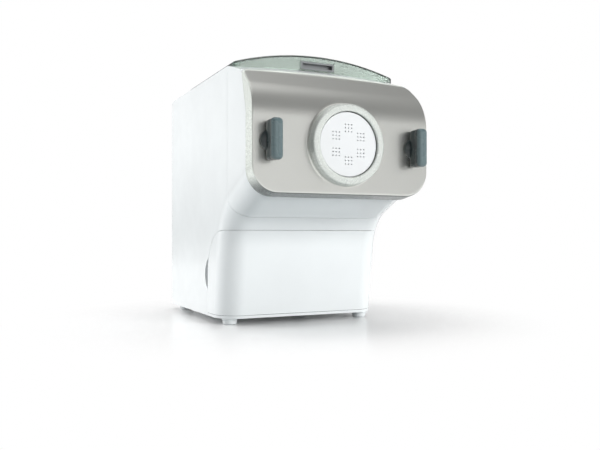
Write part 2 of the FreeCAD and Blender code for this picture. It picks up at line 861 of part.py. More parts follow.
# Knobs: a round hub and an upright blade, bored to screw on a stud
for side, x in knob_places():
    body = new_body("Knob")
    hub = sketch_on(body, "XZ_Plane", s.free_gap)
    circle(hub, 0.0, 0.0, s.knob_hub_radius)
    pad(body, hub, s.knob_hub_height)
    blade = sketch_on(body, "XZ_Plane", s.knob_hub_height / 2)
    rectangle(blade, -s.knob_thickness / 2, s.knob_thickness / 2, -s.knob_length / 2,
              s.knob_length / 2, s.knob_thickness / 2 - 0.05)
    pad(body, blade, s.knob_reach - s.panel_face - s.knob_hub_height / 2)
    front = -float(s.knob_reach - s.panel_face)
    rounded(body, lambda edge: abs(edge.BoundBox.YMax - front) < 0.01, s.knob_round)
    shank = sketch_on(body, "XZ_Plane", s.free_gap)
    circle(shank, 0.0, 0.0, shank_radius)
    pad(body, shank, s.panel_wall + 5, back=True)
    bore = sketch_on(body, "XZ_Plane", -s.panel_wall - 8)
    circle(bore, 0.0, 0.0, s.stud_radius + s.running_gap)
    pocket(body, bore, s.panel_wall + 8 + s.chin_reach + s.stud_length - s.wall - 10 - s.panel_face + 2,
           back=True)
    place(body, x, -s.panel_face, s.axis_height)
    node(body, "knob_left" if side < 0 else "knob_right")


# The mixing trough: round bottom on the drive axis, upright walls and a rim on the deck
trough_length = s.chamber_front + chamber_back
chamber_outer = s.chamber_radius + s.chamber_wall
trough = cut(
    fused(
        rod(chamber_outer, trough_length + 2 * s.chamber_wall, 0, chamber_back + s.chamber_wall,
            s.axis_height, FORWARD),
        block(-chamber_outer, chamber_outer, -s.chamber_front - s.chamber_wall,
              chamber_back + s.chamber_wall, s.axis_height, s.deck_height + s.chamber_rim),
        block(-chamber_outer - 6, chamber_outer + 6, -s.chamber_front - s.chamber_wall - 2,
              chamber_back + s.chamber_wall + 6, s.deck_height, s.deck_height + s.chamber_rim),
    ),
    rod(s.chamber_radius, trough_length, 0, chamber_back, s.axis_height, FORWARD),
    block(-s.chamber_radius, s.chamber_radius, -s.chamber_front, chamber_back, s.axis_height,
          s.deck_height + 20),
    rod(s.tube_bore, 20, 0, -s.chamber_front + 5, s.axis_height, FORWARD),
    rod(s.shaft_radius + 5, 20, 0, chamber_back + 10, s.axis_height, FORWARD),
)
mixing_chamber = node(trough, "mixing_chamber")

# The seal in the trough's back wall runs on the drive shaft
seal = cut(
    fused(
        rod(s.shaft_radius + 5, s.chamber_wall + 1.5, 0, chamber_back + s.chamber_wall, s.axis_height,
            FORWARD),
        rod(s.shaft_radius + 7, 1.5, 0, chamber_back + s.chamber_wall + 1.5, s.axis_height, FORWARD),
    ),
    rod(s.shaft_radius + s.running_gap, 30, 0, chamber_back + 15, s.axis_height, FORWARD),
)
chamber_seal = node(seal, "chamber_seal")


screw_back = chamber_back - 2


def screw_shape():
    """The press screw: a core with one helical flight that thickens towards its root."""
    pitch = float(s.flight_pitch)
    length = float(s.flight_front + s.flight_back)
    inner = float(s.core_radius) - 1
    outer = float(s.flight_radius)
    helix = Part.makeHelix(pitch, length, inner)
    section = Part.makePolygon([
        Vector(inner, 0, -float(s.flight_root) / 2),
        Vector(outer, 0, -float(s.flight_tip) / 2),
        Vector(outer, 0, float(s.flight_tip) / 2),
        Vector(inner, 0, float(s.flight_root) / 2),
        Vector(inner, 0, -float(s.flight_root) / 2),
    ])
    flight = Part.Wire(helix.Edges).makePipeShell([section], True, True)
    flight.translate(Vector(0, 0, -float(s.flight_back)))
    core = Part.makeCylinder(float(s.core_radius), float(s.screw_front + screw_back) - 6,
                             Vector(0, 0, -float(screw_back)))
    tip = Part.makeCone(float(s.core_radius), float(s.core_radius) / 2, 6,
                        Vector(0, 0, float(s.screw_front) - 6))
    socket = Part.makeCylinder(float(s.shaft_radius + s.running_gap), 16,
                               Vector(0, 0, -float(screw_back)))
    screw = core.fuse([tip, flight]).cut(socket).removeSplitter()
    return screw


extrusion_screw = doc.addObject("Part::Feature", "Screw")
extrusion_screw.Shape = screw_shape()
place(extrusion_screw, 0.0, 0.0, s.axis_height, FORWARD)
node(extrusion_screw, "extrusion_screw")


# The paddle: a hub on the screw's core, two long wipers and two short stirring fingers
def paddle_arm(side, back, length):
    """One arm and its wiper bar, before the hub is bored."""
    arm = block(-s.paddle_arm / 2, s.paddle_arm / 2, back - 10, back,
                side * s.core_radius if side > 0 else -s.paddle_reach,
                s.paddle_reach if side > 0 else -s.core_radius)
    bar = block(-s.paddle_arm / 2, s.paddle_arm / 2, back - length, back,
                side * (s.paddle_reach - 6) if side > 0 else -s.paddle_reach,
                s.paddle_reach if side > 0 else -s.paddle_reach + 6)
    return [arm, bar]


paddle_back = chamber_back - 3
paddle = cut(
    fused(
        rod(s.paddle_hub_radius, 42, 0, paddle_back, 0, FORWARD),
        *paddle_arm(1, paddle_back, s.chamber_front + chamber_back - 8),
        *paddle_arm(-1, paddle_back - 24, 40),
    ),
    rod(s.core_radius + s.running_gap, 80, 0, paddle_back + 10, 0, FORWARD),
)
place(paddle, 0.0, 0.0, s.axis_height, Rotation(Vector(0, 1, 0), 90))
mixing_paddle = node(paddle, "mixing_paddle")

# The see-through lid: an arched shell on a hinge behind the trough
def lid_block(name, inset):
    """The lid's outer form, or the hollow inside its wall, taken down past the brow."""
    body = new_body(name)
    low = s.deck_height - 20
    arched(sketch_on(body, "XZ_Plane", s.lid_front - inset), lid_half_width - inset, low,
           s.lid_top - inset, s.lid_arch - inset)
    pad(body, body.Group[0], s.lid_front + lid_back - 2 * inset, back=True)
    rounded(body, lambda edge: runs_along(edge, Z) and edge.BoundBox.YMin < 0, s.lid_corner / 3)
    rounded(body, lambda edge: runs_along(edge, Z) and edge.BoundBox.YMin > 0, s.lid_corner)
    return body


lid_outer = lid_block("Lid", 0.0)
rounded(lid_outer, lambda edge: edge.BoundBox.ZMax > float(s.lid_top) - 16 and not runs_along(edge, Z)
        and edge.BoundBox.ZMin > float(s.deck_height) - 10, s.lid_edge)
lid_crown = crown_form("LidCrown")
place(lid_crown, 0.0, 0.0, s.lid_gap)
under_lid = fused(
    shared(lid_crown, block(-200, 200, -200, -s.split_reach + 1, 0, lid_base)),
    block(-200, 200, -s.split_reach + 0.5, 200, 0, lid_base),
)
lid_shell = cut(lid_outer, lid_block("LidHollow", s.lid_wall), under_lid)
lid_lugs = []
for x in hinge_centres:
    lid_lugs.append(rod(s.hinge_lug_radius, s.hinge_lug_width, x - s.hinge_lug_width / 2, hinge_back,
                        s.hinge_height, RIGHTWARD))
    lid_lugs.append(block(x - s.hinge_lug_width / 2, x + s.hinge_lug_width / 2, lid_back - 1,
                          hinge_back, s.hinge_height - s.hinge_lug_radius,
                          s.hinge_height + s.hinge_lug_radius))
lug_bores = [
    rod(s.hinge_pin_radius + s.running_gap, s.hinge_lug_width + 10, x - s.hinge_lug_width / 2 - 5,
        hinge_back, s.hinge_height, RIGHTWARD)
    for x in hinge_centres
]
handle_low = lid_base + 1
handle_notch = block(-s.handle_width / 2, s.handle_width / 2, -s.lid_front - 5,
                     -s.lid_front + s.lid_wall + 2, handle_low, handle_low + s.handle_height)
pour_slots = [
    block(x * s.slot_pitch - s.slot_width / 2, x * s.slot_pitch + s.slot_width / 2,
          20, 20 + s.slot_length, lid_base + 5, s.lid_top + 5)
    for x in range(-3, 4)
]
lid = node(cut(fused(lid_shell, *lid_lugs), *lug_bores, handle_notch, *pour_slots), "lid")

# The grip that fills the notch in the lid's front wall
handle = cut(
    block(-s.handle_width / 2 + 0.2, s.handle_width / 2 - 0.2, -s.lid_front + 0.3,
          -s.lid_front + s.handle_depth, handle_low + 0.2, handle_low + s.handle_height - 0.2),
    block(-s.handle_width / 2 + 2.2, s.handle_width / 2 - 2.2, -s.lid_front - 5,
          -s.lid_front + s.handle_depth - 2, handle_low + 2, handle_low + s.handle_height - 2),
)
lid_handle = node(handle, "lid_handle")

hinge_pins = node(grouped(*[
    rod(s.hinge_pin_radius, s.hinge_lug_width + 2 * s.hinge_ear_width + 2 * s.free_gap,
        x - s.hinge_lug_width / 2 - s.hinge_ear_width - s.free_gap, hinge_back, s.hinge_height, RIGHTWARD)
    for x in hinge_centres
]), "hinge_pins")

# The drawer: the foot's front moulding, a tray on two rails, and the spare discs in their rack
tray_front = -s.tray_front
tray_half = half_width - s.tray_inset
tray_floor = floor_top + 2.3
tray_top = tray_floor + s.tray_depth
drawer_solid = shared(cut(form, shell_of(form, "DrawerShell")), fused(*[
    block(side * 60 - 2, side * 60 + 2, -s.toe_reach - 30, tray_front, floor_top + 3, tray_top - 4)
    for side in (-1, 1)
]))
drawer_front = node(
    fused(
        shared(shell, cut(drawer_region("DrawerSpace", 0.0), block(-200, 200, -200, 200, -50,
                                                                   floor_top + s.seam))),
        drawer_solid,
    ),
    "drawer_front",
)
rail_height = 42.0
flange_bottom = rail_height + 3 + s.free_gap
tray_back = plate_back - s.tray_back_gap
drawer_tray = node(
    cut(
        fused(
            block(-tray_half, tray_half, tray_front, tray_back, tray_floor, tray_top),
            *[block(side * tray_half if side > 0 else -tray_half - 3.5,
                    tray_half + 3.5 if side > 0 else -tray_half,
                    tray_front, tray_back, flange_bottom, flange_bottom + 2) for side in (-1, 1)],
        ),
        block(-tray_half + s.tray_wall, tray_half - s.tray_wall,
              tray_front + s.tray_wall, tray_back - s.tray_wall, tray_floor + s.tray_wall, tray_top + 10),
    ),
    "drawer_tray",
)
rack_floor = tray_floor + s.tray_wall
rack_places = [-14.0, 4.0, 22.0]
disc_thickness = 5.0
disc_rack = node(
    cut(
        block(-30, 30, rack_places[0] - 8, rack_places[-1] + disc_thickness + 8, rack_floor, rack_floor + 9),
        *[rod(s.disc_radius + s.free_gap, disc_thickness + 2 * s.free_gap, 0, y - s.free_gap,
              rack_floor + 2 + s.disc_radius + s.free_gap, BACKWARD) for y in rack_places],
    ),
    "disc_rack",
)


def spare_disc(y, slot_height, slot_count, slot_pitch):
    """A disc standing in the rack, cut with a row of slots for flat strands."""
    disc = rod(s.disc_radius, disc_thickness, 0, y, rack_floor + 2.3 + s.disc_radius, BACKWARD)
    slots = [
        block(-9, 9, y - 5, y + 10, rack_floor + 2.3 + s.disc_radius + (i - (slot_count - 1) / 2) * slot_pitch
              - slot_height / 2,
              rack_floor + 2.3 + s.disc_radius + (i - (slot_count - 1) / 2) * slot_pitch + slot_height / 2)
        for i in range(slot_count)
    ]
    return cut(disc, *slots)


spare_discs = node(grouped(
    spare_disc(rack_places[0], 1.6, 6, 6.0),
    spare_disc(rack_places[1], 2.4, 4, 9.0),
    spare_disc(rack_places[2], 1.2, 2, 20.0),
), "spare_discs")

# The bay that closes the drawer's space off from the works, with its two rails
bay_half = tray_half + 3.5 + s.bay_gap
bay_back = tray_back + 8
bay_top = s.drawer_height + 4
drawer_bay = node(
    cut(
        block(-bay_half - 2, bay_half + 2, -50, bay_back + 2, floor_top, bay_top),
        block(-bay_half, bay_half, -60, bay_back, floor_top - 1, bay_top - 2),
        block(-200, 200, -60, s.drawer_back - 32, floor_top - 1, bay_top - 2.001),
    ),
    "drawer_bay",
)
drawer_rails = node(grouped(*[
    block(tray_half + 0.5 if side > 0 else -bay_half, bay_half if side > 0 else
          -tray_half - 0.5, s.drawer_back - 30, bay_back, rail_height, rail_height + 3)
    for side in (-1, 1)
]), "drawer_rails")

# Feet
feet = node(grouped(*[
    cone(s.foot_radius - 1.2, s.foot_radius, s.foot_rise, side * (half_width - s.foot_side_inset), y, 0)
    for side in (-1, 1) for y in (-s.foot_front_reach, s.rear_reach - s.foot_back_inset)
]), "feet")

# The control panel on the right side, its window, four buttons and the board behind it
face_x = half_width + s.control_proud
body = new_body("ControlPanel")
flange = sketch_on(body, "YZ_Plane", half_width)
rectangle(flange, s.control_back - s.control_length / 2, s.control_back + s.control_length / 2,
          s.control_height - s.control_tall / 2, s.control_height + s.control_tall / 2, 9.0)
pad(body, flange, s.control_proud)
plug = sketch_on(body, "YZ_Plane", half_width)
rectangle(plug, s.control_back - control_half_long + 0.2, s.control_back + control_half_long - 0.2,
          s.control_height - control_half_tall + 0.2, s.control_height + control_half_tall - 0.2)
pad(body, plug, s.wall, back=True)
window_height = s.control_height + 12
window_hole = block(half_width - 10, half_width + 10, s.control_back - 24, s.control_back + 24,
                    window_height - 9, window_height + 9)
button_height = s.control_height - 13
button_places = [s.control_back + (i - 1.5) * s.button_pitch for i in range(4)]
button_holes = [
    rod(s.button_radius + s.free_gap, 20, half_width - 10, y, button_height, RIGHTWARD)
    for y in button_places
]
control_panel = node(cut(body, window_hole, *button_holes), "control_panel")
display_window = node(
    block(half_width - 1.5, face_x + 0.2, s.control_back - 24, s.control_back + 24,
          window_height - 9, window_height + 9),
    "display_window",
)
button_front = face_x + s.button_proud
stem_end = half_width - s.wall - 3.4
for y, word in zip(button_places, ("power", "program", "size", "start")):
    button = fused(
        rod(s.button_radius, button_front - stem_end, stem_end, y, button_height, RIGHTWARD),
        rod(s.button_radius + 1.5, 1.2, half_width - s.wall - 1.5, y, button_height, RIGHTWARD),
    )
    node(button, f"{word}_button")
switch_front = stem_end - s.button_travel - s.free_gap
board_back = switch_front - 5.5
control_board = node(
    fused(
        block(board_back - 1.6, board_back, s.control_back - 44, s.control_back + 44,
              s.control_height - 24, s.control_height + 24),
        *[block(board_back, switch_front - 1.2, y - 3, y + 3, button_height - 3, button_height + 3)
          for y in button_places],
        *[rod(1.75, 3, switch_front - 3, y, button_height, RIGHTWARD) for y in button_places],
        block(board_back, half_width - s.wall - 2, s.control_back - 22, s.control_back + 22,
              window_height - 8, window_height + 8),
        *[rod(2.2, half_width - s.wall - board_back, board_back, s.control_back + side * 41,
              s.control_height + up * 21, RIGHTWARD) for side in (-1, 1) for up in (-1, 1)],
    ),
    "control_board",
)

# Gear train: motor pinion, idler and output gear on parallel shafts
PRESSURE_ANGLE = math.radians(25)


def gear_outline(teeth, module, point_to, tooth_there):
    """A wire round a spur gear; a tooth, or a gap, lies at the angle point_to."""
    pitch_radius = teeth * module / 2
    base_radius = pitch_radius * math.cos(PRESSURE_ANGLE)
    tip_radius = pitch_radius + 0.92 * module
    root_radius = pitch_radius - 1.25 * module
    backlash = 0.12 * module
    half_tooth = math.pi / (2 * teeth) - backlash / (2 * pitch_radius)
    involute_pitch = math.tan(PRESSURE_ANGLE) - PRESSURE_ANGLE
    flank = []
    start = max(base_radius, root_radius)
    for i in range(4):
        radius = start + (tip_radius - start) * i / 3
        roll = math.acos(min(1.0, base_radius / radius))
        flank.append((radius, half_tooth + involute_pitch - (math.tan(roll) - roll)))
    root_angle = flank[0][1]
    if root_radius < start:
        flank.insert(0, (root_radius, root_angle))
    points = []
    first = point_to if tooth_there else point_to + math.pi / teeth
    for tooth in range(teeth):
        middle = first + tooth * 2 * math.pi / teeth
        for radius, angle in flank:
            points.append(Vector(radius * math.cos(middle - angle), radius * math.sin(middle - angle), 0))
        for radius, angle in reversed(flank):
            points.append(Vector(radius * math.cos(middle + angle), radius * math.sin(middle + angle), 0))
    return Part.makePolygon(points + points[:1])


def gear_blank(teeth, module, width, point_to, tooth_there):
    """A solid gear along +Z from its own outline."""
    return Part.Face(gear_outline(teeth, module, point_to, tooth_there)).extrude(Vector(0, 0, width))


first_centres = float(s.wheel_module) * (PINION_TEETH + WHEEL_TEETH) / 2
second_centres = float(s.gear_module) * (IDLER_TEETH + OUTPUT_TEETH) / 2
offset = float(s.idler_offset)
idler_z = float(s.axis_height) - math.sqrt(second_centres ** 2 - offset ** 2)
motor_z = idler_z - math.sqrt(first_centres ** 2 - offset ** 2)
gear_front = float(plate_back + s.plate_thickness) + 3
gear_width = float(s.gear_width)
wheel_width = 8.0
wheel_front = gear_front + gear_width + 1.5
to_idler = math.atan2(idler_z - float(s.axis_height), -offset)
to_output = to_idler + math.pi
to_motor = math.atan2(motor_z - idler_z, offset)
motor_to_idler = to_motor + math.pi


def along_shaft(shape, x, y, z, label):
    """A computed gear shape turned from its own axis onto a shaft that runs along Y."""
    item = doc.addObject("Part::Feature", "Gear")
    item.Shape = shape
    place(item, x, y, z, FORWARD)
    return node(item, label)


lightening = float(s.gear_module) * OUTPUT_TEETH / 2
output_shape = gear_blank(OUTPUT_TEETH, float(s.gear_module), gear_width, to_idler, False)
output_shape = output_shape.cut(Part.makeCylinder(float(s.shaft_radius), gear_width * 3,
                                                  Vector(0, 0, -gear_width)))
for i in range(6):
    angle = math.radians(60 * i + 30)
    hole = Part.makeCylinder(7.5, gear_width * 3, Vector(lightening * 0.56 * math.cos(angle),
                                                       lightening * 0.56 * math.sin(angle), -gear_width))
    output_shape = output_shape.cut(hole)
output_gear = along_shaft(output_shape, 0.0, gear_front + gear_width, s.axis_height, "output_gear")

idler_bore = float(s.idler_shaft_radius + s.running_gap)
idler_pinion = gear_blank(IDLER_TEETH, float(s.gear_module), gear_width, to_output, True)
idler_pinion.translate(Vector(0, 0, wheel_width + 1.5))
idler_wheel = gear_blank(WHEEL_TEETH, float(s.wheel_module), wheel_width, to_motor, False)
idler_hub = Part.makeCylinder(10, wheel_width + 2.5)
idler_shape = idler_wheel.fuse([idler_hub, idler_pinion])
idler_shape = idler_shape.cut(Part.makeCylinder(idler_bore, 60, Vector(0, 0, -10)))
idler_gear = along_shaft(idler_shape, -offset, wheel_front + wheel_width, idler_z, "idler_gear")

pinion_shape = gear_blank(PINION_TEETH, float(s.wheel_module), wheel_width + 2, motor_to_idler, True)
pinion_shape = pinion_shape.cut(Part.makeCylinder(float(s.motor_shaft_radius), 60, Vector(0, 0, -10)))
motor_pinion = along_shaft(pinion_shape, 0.0, wheel_front + wheel_width + 1, motor_z, "motor_pinion")

# Shafts, bushes and the gear case on its upright plate
case_back = plate_back + s.plate_thickness + s.gearcase_depth
output_shaft = node(
    rod(s.shaft_radius, case_back + 2 - (screw_back - 16), 0, case_back + 2, s.axis_height, FORWARD),
    "output_shaft",
)
idler_shaft = node(
    rod(s.idler_shaft_radius, s.gearcase_depth - 1, -s.idler_offset, case_back - 1, idler_z, FORWARD),
    "idler_shaft",
)
bush_radius = s.shaft_radius + 4
gearbox_plate = node(
    cut(
        fused(
            block(-62, 62, plate_back, plate_back + s.plate_thickness, floor_top, 252),
            block(-62, 62, plate_back, plate_back + 16, floor_top, floor_top + 3),
        ),
        rod(bush_radius, 30, 0, plate_back + 20, s.axis_height, FORWARD),
        *[block(x - 12, x + 12, 60, 80, 24, 52) for x in (-40, 0, 40)],
    ),
    "gearbox_plate",
)
case_centres = [(0.0, s.axis_height, 51.0), (-s.idler_offset, idler_z, 44.5), (0.0, motor_z, 22.0)]
case_wall = 2.5
gearbox_cover = node(
    cut(
        fused(*[rod(radius, s.gearcase_depth, x, case_back, z, FORWARD) for x, z, radius in case_centres]),
        *[rod(radius - case_wall, s.gearcase_depth - 3, x, case_back - 3, z, FORWARD)
          for x, z, radius in case_centres],
        rod(bush_radius, 30, 0, case_back + 10, s.axis_height, FORWARD),
        rod(s.motor_shaft_radius + 3, 30, 0, case_back + 10, motor_z, FORWARD),
        rod(s.idler_shaft_radius, 12, -s.idler_offset, case_back - 1, idler_z, FORWARD),
    ),
    "gearbox_cover",
)
shaft_bushes = node(grouped(*[
    cut(
        rod(bush_radius, 6, 0, back, s.axis_height, FORWARD),
        rod(s.shaft_radius + s.running_gap, 20, 0, back + 5, s.axis_height, FORWARD),
    )
    for back in (plate_back + s.plate_thickness, case_back)
]), "shaft_bushes")

# The motor: can, laminated stator, rotor on its shaft, and a fan at the back
motor_back = case_back + s.motor_length
can_wall = 2.5
stack_front = case_back + 9
stack_length = s.motor_length - 18
motor_case = node(
    cut(
        rod(s.motor_radius, s.motor_length, 0, motor_back, motor_z, FORWARD),
        rod(s.motor_radius - can_wall, s.motor_length - 6, 0, motor_back - 3, motor_z, FORWARD),
        rod(s.motor_shaft_radius + s.running_gap, 100, 0, motor_back + 20, motor_z, FORWARD),
        *[rod(5, 20, 26 * round(math.cos(math.radians(a)), 4), motor_back + 10,
              motor_z + 26 * round(math.sin(math.radians(a)), 4), FORWARD) for a in range(0, 360, 45)],
    ),
    "motor_case",
)
rotor_radius = 24.0
motor_stator = node(
    cut(
        rod(s.motor_radius - can_wall, stack_length, 0, stack_front + stack_length, motor_z, FORWARD),
        rod(rotor_radius + 0.4, 100, 0, motor_back + 20, motor_z, FORWARD),
        *[rod(4.5, 100, 31 * round(math.cos(math.radians(a)), 4), motor_back + 20,
              motor_z + 31 * round(math.sin(math.radians(a)), 4), FORWARD) for a in range(0, 360, 60)],
    ),
    "motor_stator",
)
fan_back = motor_back + 12
shaft_front = wheel_front - 1
motor_rotor = node(
    fused(
        rod(rotor_radius, stack_length, 0, stack_front + stack_length, motor_z, FORWARD),
        rod(s.motor_shaft_radius, fan_back - shaft_front, 0, fan_back, motor_z, FORWARD),
    ),
    "motor_rotor",
)


def fan_shape():
    """A fan: a hub with nine leaning blades inside a thin ring."""
    hub = Part.makeCylinder(9, 9)
    ring = Part.makeCylinder(float(s.fan_radius), 9).cut(Part.makeCylinder(float(s.fan_radius) - 1.5, 9))
    blade = Part.makeBox(float(s.fan_radius) - 9, 1.5, 9, Vector(8.5, -0.75, 0))
    blades = []
    for i in range(9):
        turned_blade = blade.copy()
        turned_blade.rotate(Vector(0, 0, 4.5), X, 32)
        turned_blade.rotate(Vector(), Z, 40 * i)
        blades.append(turned_blade)
    slab = Part.makeCylinder(float(s.fan_radius), 9)
    fan = hub.fuse([ring] + [one.common(slab) for one in blades])
    return fan.cut(Part.makeCylinder(float(s.motor_shaft_radius), 40, Vector(0, 0, -10))).removeSplitter()


motor_fan = doc.addObject("Part::Feature", "Fan")
motor_fan.Shape = fan_shape()
place(motor_fan, 0.0, fan_back, motor_z, FORWARD)
node(motor_fan, "motor_fan")
motor_bracket = node(
    cut(
        block(-30, 30, case_back + 6, motor_back - 6, floor_top, motor_z),
        rod(s.motor_radius, 100, 0, motor_back + 20, motor_z, FORWARD),
        block(-24, 24, case_back, motor_back, floor_top + 3, floor_top + 38),
    ),
    "motor_bracket",
)

# Power board, lid switch and the cord gland
board_x = -half_width + s.wall + 8
board_front = s.rear_reach - 87
power_board = node(
    fused(
        block(board_x, board_x + 1.6, board_front, board_front + 76, floor_top, 96),
        block(board_x + 1.6, board_x + 24, board_front + 6, board_front + 30, 20, 46),
        rod(8, 26, board_x + 1.6, board_front + 44, 34, RIGHTWARD),
        block(board_x + 1.6, board_x + 16, board_front + 36, board_front + 66, 56, 74),
        *[rod(4, 14, board_x + 1.6, board_front + ahead, 86, RIGHTWARD) for ahead in (10, 22)],
    ),
    "power_board",
)
switch_x = -half_width + s.wall + 4
lid_switch = node(
    cut(
        block(switch_x, switch_x + 8, hinge_back - 10, hinge_back + 10, s.deck_height - s.wall - 12,
              s.deck_height - s.wall),
        block(switch_x + 2, switch_x + 6, hinge_back - 6, hinge_back - 2, s.deck_height - s.wall - 3,
              s.deck_height),
    ),
    "lid_switch",
)
cord_gland = node(
    cut(
        fused(
            rod(gland_radius, 8, gland_x, s.rear_reach, gland_height, FORWARD),
            rod(gland_radius + 2, 2.5, gland_x, s.rear_reach - s.wall / 2, gland_height, FORWARD),
        ),
        rod(gland_radius / 2, 40, gland_x, s.rear_reach + 20, gland_height, FORWARD),
    ),
    "cord_gland",
)
base_screws = node(grouped(*[
    fused(rod(screw_radius, 10, x, y, s.foot_rise), rod(3.2, 1.6, x, y, s.foot_rise - 1.6))
    for x, y in base_screw_places
]), "base_screws")

doc.recompute()
for item in doc.Objects:
    if "Invalid" in item.State or "Error" in item.State:
        raise RuntimeError(f"{item.Name} ({item.Label}) failed: {item.State}")
for item in nodes:
    if item.Shape.isNull() or not item.Shape.isValid():
        raise RuntimeError(f"{item.Label} has no valid shape")
os.makedirs("parts", exist_ok=True)
for item in nodes:
    item.Shape.exportStep(f"parts/{item.Label}.step")
print(len(nodes), "sub-parts written")
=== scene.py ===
import json
import math

import bmesh
import bpy
import numpy as np
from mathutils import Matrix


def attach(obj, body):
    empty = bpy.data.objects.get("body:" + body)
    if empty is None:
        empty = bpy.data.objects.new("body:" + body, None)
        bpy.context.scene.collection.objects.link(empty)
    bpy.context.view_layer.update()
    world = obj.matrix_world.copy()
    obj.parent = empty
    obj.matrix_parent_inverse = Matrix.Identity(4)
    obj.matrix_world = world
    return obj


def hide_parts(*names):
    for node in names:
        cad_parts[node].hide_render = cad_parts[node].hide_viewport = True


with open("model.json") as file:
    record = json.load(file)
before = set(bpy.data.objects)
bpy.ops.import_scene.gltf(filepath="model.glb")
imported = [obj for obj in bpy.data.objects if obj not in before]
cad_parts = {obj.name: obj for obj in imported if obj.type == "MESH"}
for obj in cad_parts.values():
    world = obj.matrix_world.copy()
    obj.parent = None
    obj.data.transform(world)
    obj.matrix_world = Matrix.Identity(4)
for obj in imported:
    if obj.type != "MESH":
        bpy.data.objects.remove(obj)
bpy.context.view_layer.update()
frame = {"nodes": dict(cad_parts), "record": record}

MM = 0.001

# The camera stands as the photograph's did, found by fitting the machine's straight edges
IMAGE_WIDTH = 600
FOCAL_PIXELS = 690.73
HORIZON_BELOW_MIDDLE = 9.35
SENSOR = 36.0
CAMERA_PLACE = (-0.3560, -0.7845, 0.1036)
CAMERA_TURN = math.radians(25.5)


def add_camera():
    data = bpy.data.cameras.new("photo_camera")
    data.sensor_width = SENSOR
    data.sensor_fit = "HORIZONTAL"
    data.lens = FOCAL_PIXELS / IMAGE_WIDTH * SENSOR
    data.shift_y = HORIZON_BELOW_MIDDLE / IMAGE_WIDTH
    camera = bpy.data.objects.new("photo_camera", data)
    camera.location = CAMERA_PLACE
    camera.rotation_euler = (math.pi / 2, 0, -CAMERA_TURN)
    bpy.context.collection.objects.link(camera)
    bpy.context.scene.camera = camera


# Materials: patterns lie on Object coordinates, in cycles per metre, and places are in metres

FLOW_MARKS = 14.0
GLOSS_PATCHES = 60.0
MOULD_SKIN = 900.0
RUBBER_SKIN = 1500.0
LACQUER_FLAKES = 2600.0
LACQUER_GLOSS = 1500.0
TOOL_MARKS = (20.0, 900.0)
LID_WAVES = 30.0
LID_GLOSS = 20.0
COPPER_RUNS = 260.0

SKIN_BUMP = 0.12
SKIN_DEPTH = 0.00002
RUBBER_DEPTH = 0.00008
FLAKE_BUMP = 0.02
FLAKE_DEPTH = 0.000004

NOISE_SPREAD = (0.35, 0.65)
TINT_STOPS = (0.3, 0.7)
# Distances in metres out from the middle over which the lid's painted shade along its side edges comes in
LID_PAINTED_EDGE = (0.0965, 0.1010)
# Depths in metres over which the knob's front-facing cap takes its painted light
KNOB_PAINTED_LIGHT = (-0.1668, -0.1640)
# Heights in metres over which the panel's side wall goes from painted shade at the bottom to its own pearl
# colour
PANEL_EDGE_PAINTED_SHADE = (0.1475, 0.168)


def add_node(tree, kind, inputs=(), **settings):
    """A node with its settings and with values on some of its inputs."""
    made = tree.nodes.new(kind)
    for key, value in settings.items():
        setattr(made, key, value)
    for socket, value in dict(inputs).items():
        made.inputs[socket].default_value = value
    return made


def seen_directly(tree):
    """1 for what the camera sees, straight or through the clear lid, and 0 for all else."""
    path = add_node(tree, "ShaderNodeLightPath")
    seen = add_node(tree, "ShaderNodeMath", operation="MAXIMUM")
    tree.links.new(path.outputs["Is Camera Ray"], seen.inputs[0])
    tree.links.new(path.outputs["Is Transmission Ray"], seen.inputs[1])
    return seen.outputs["Value"]


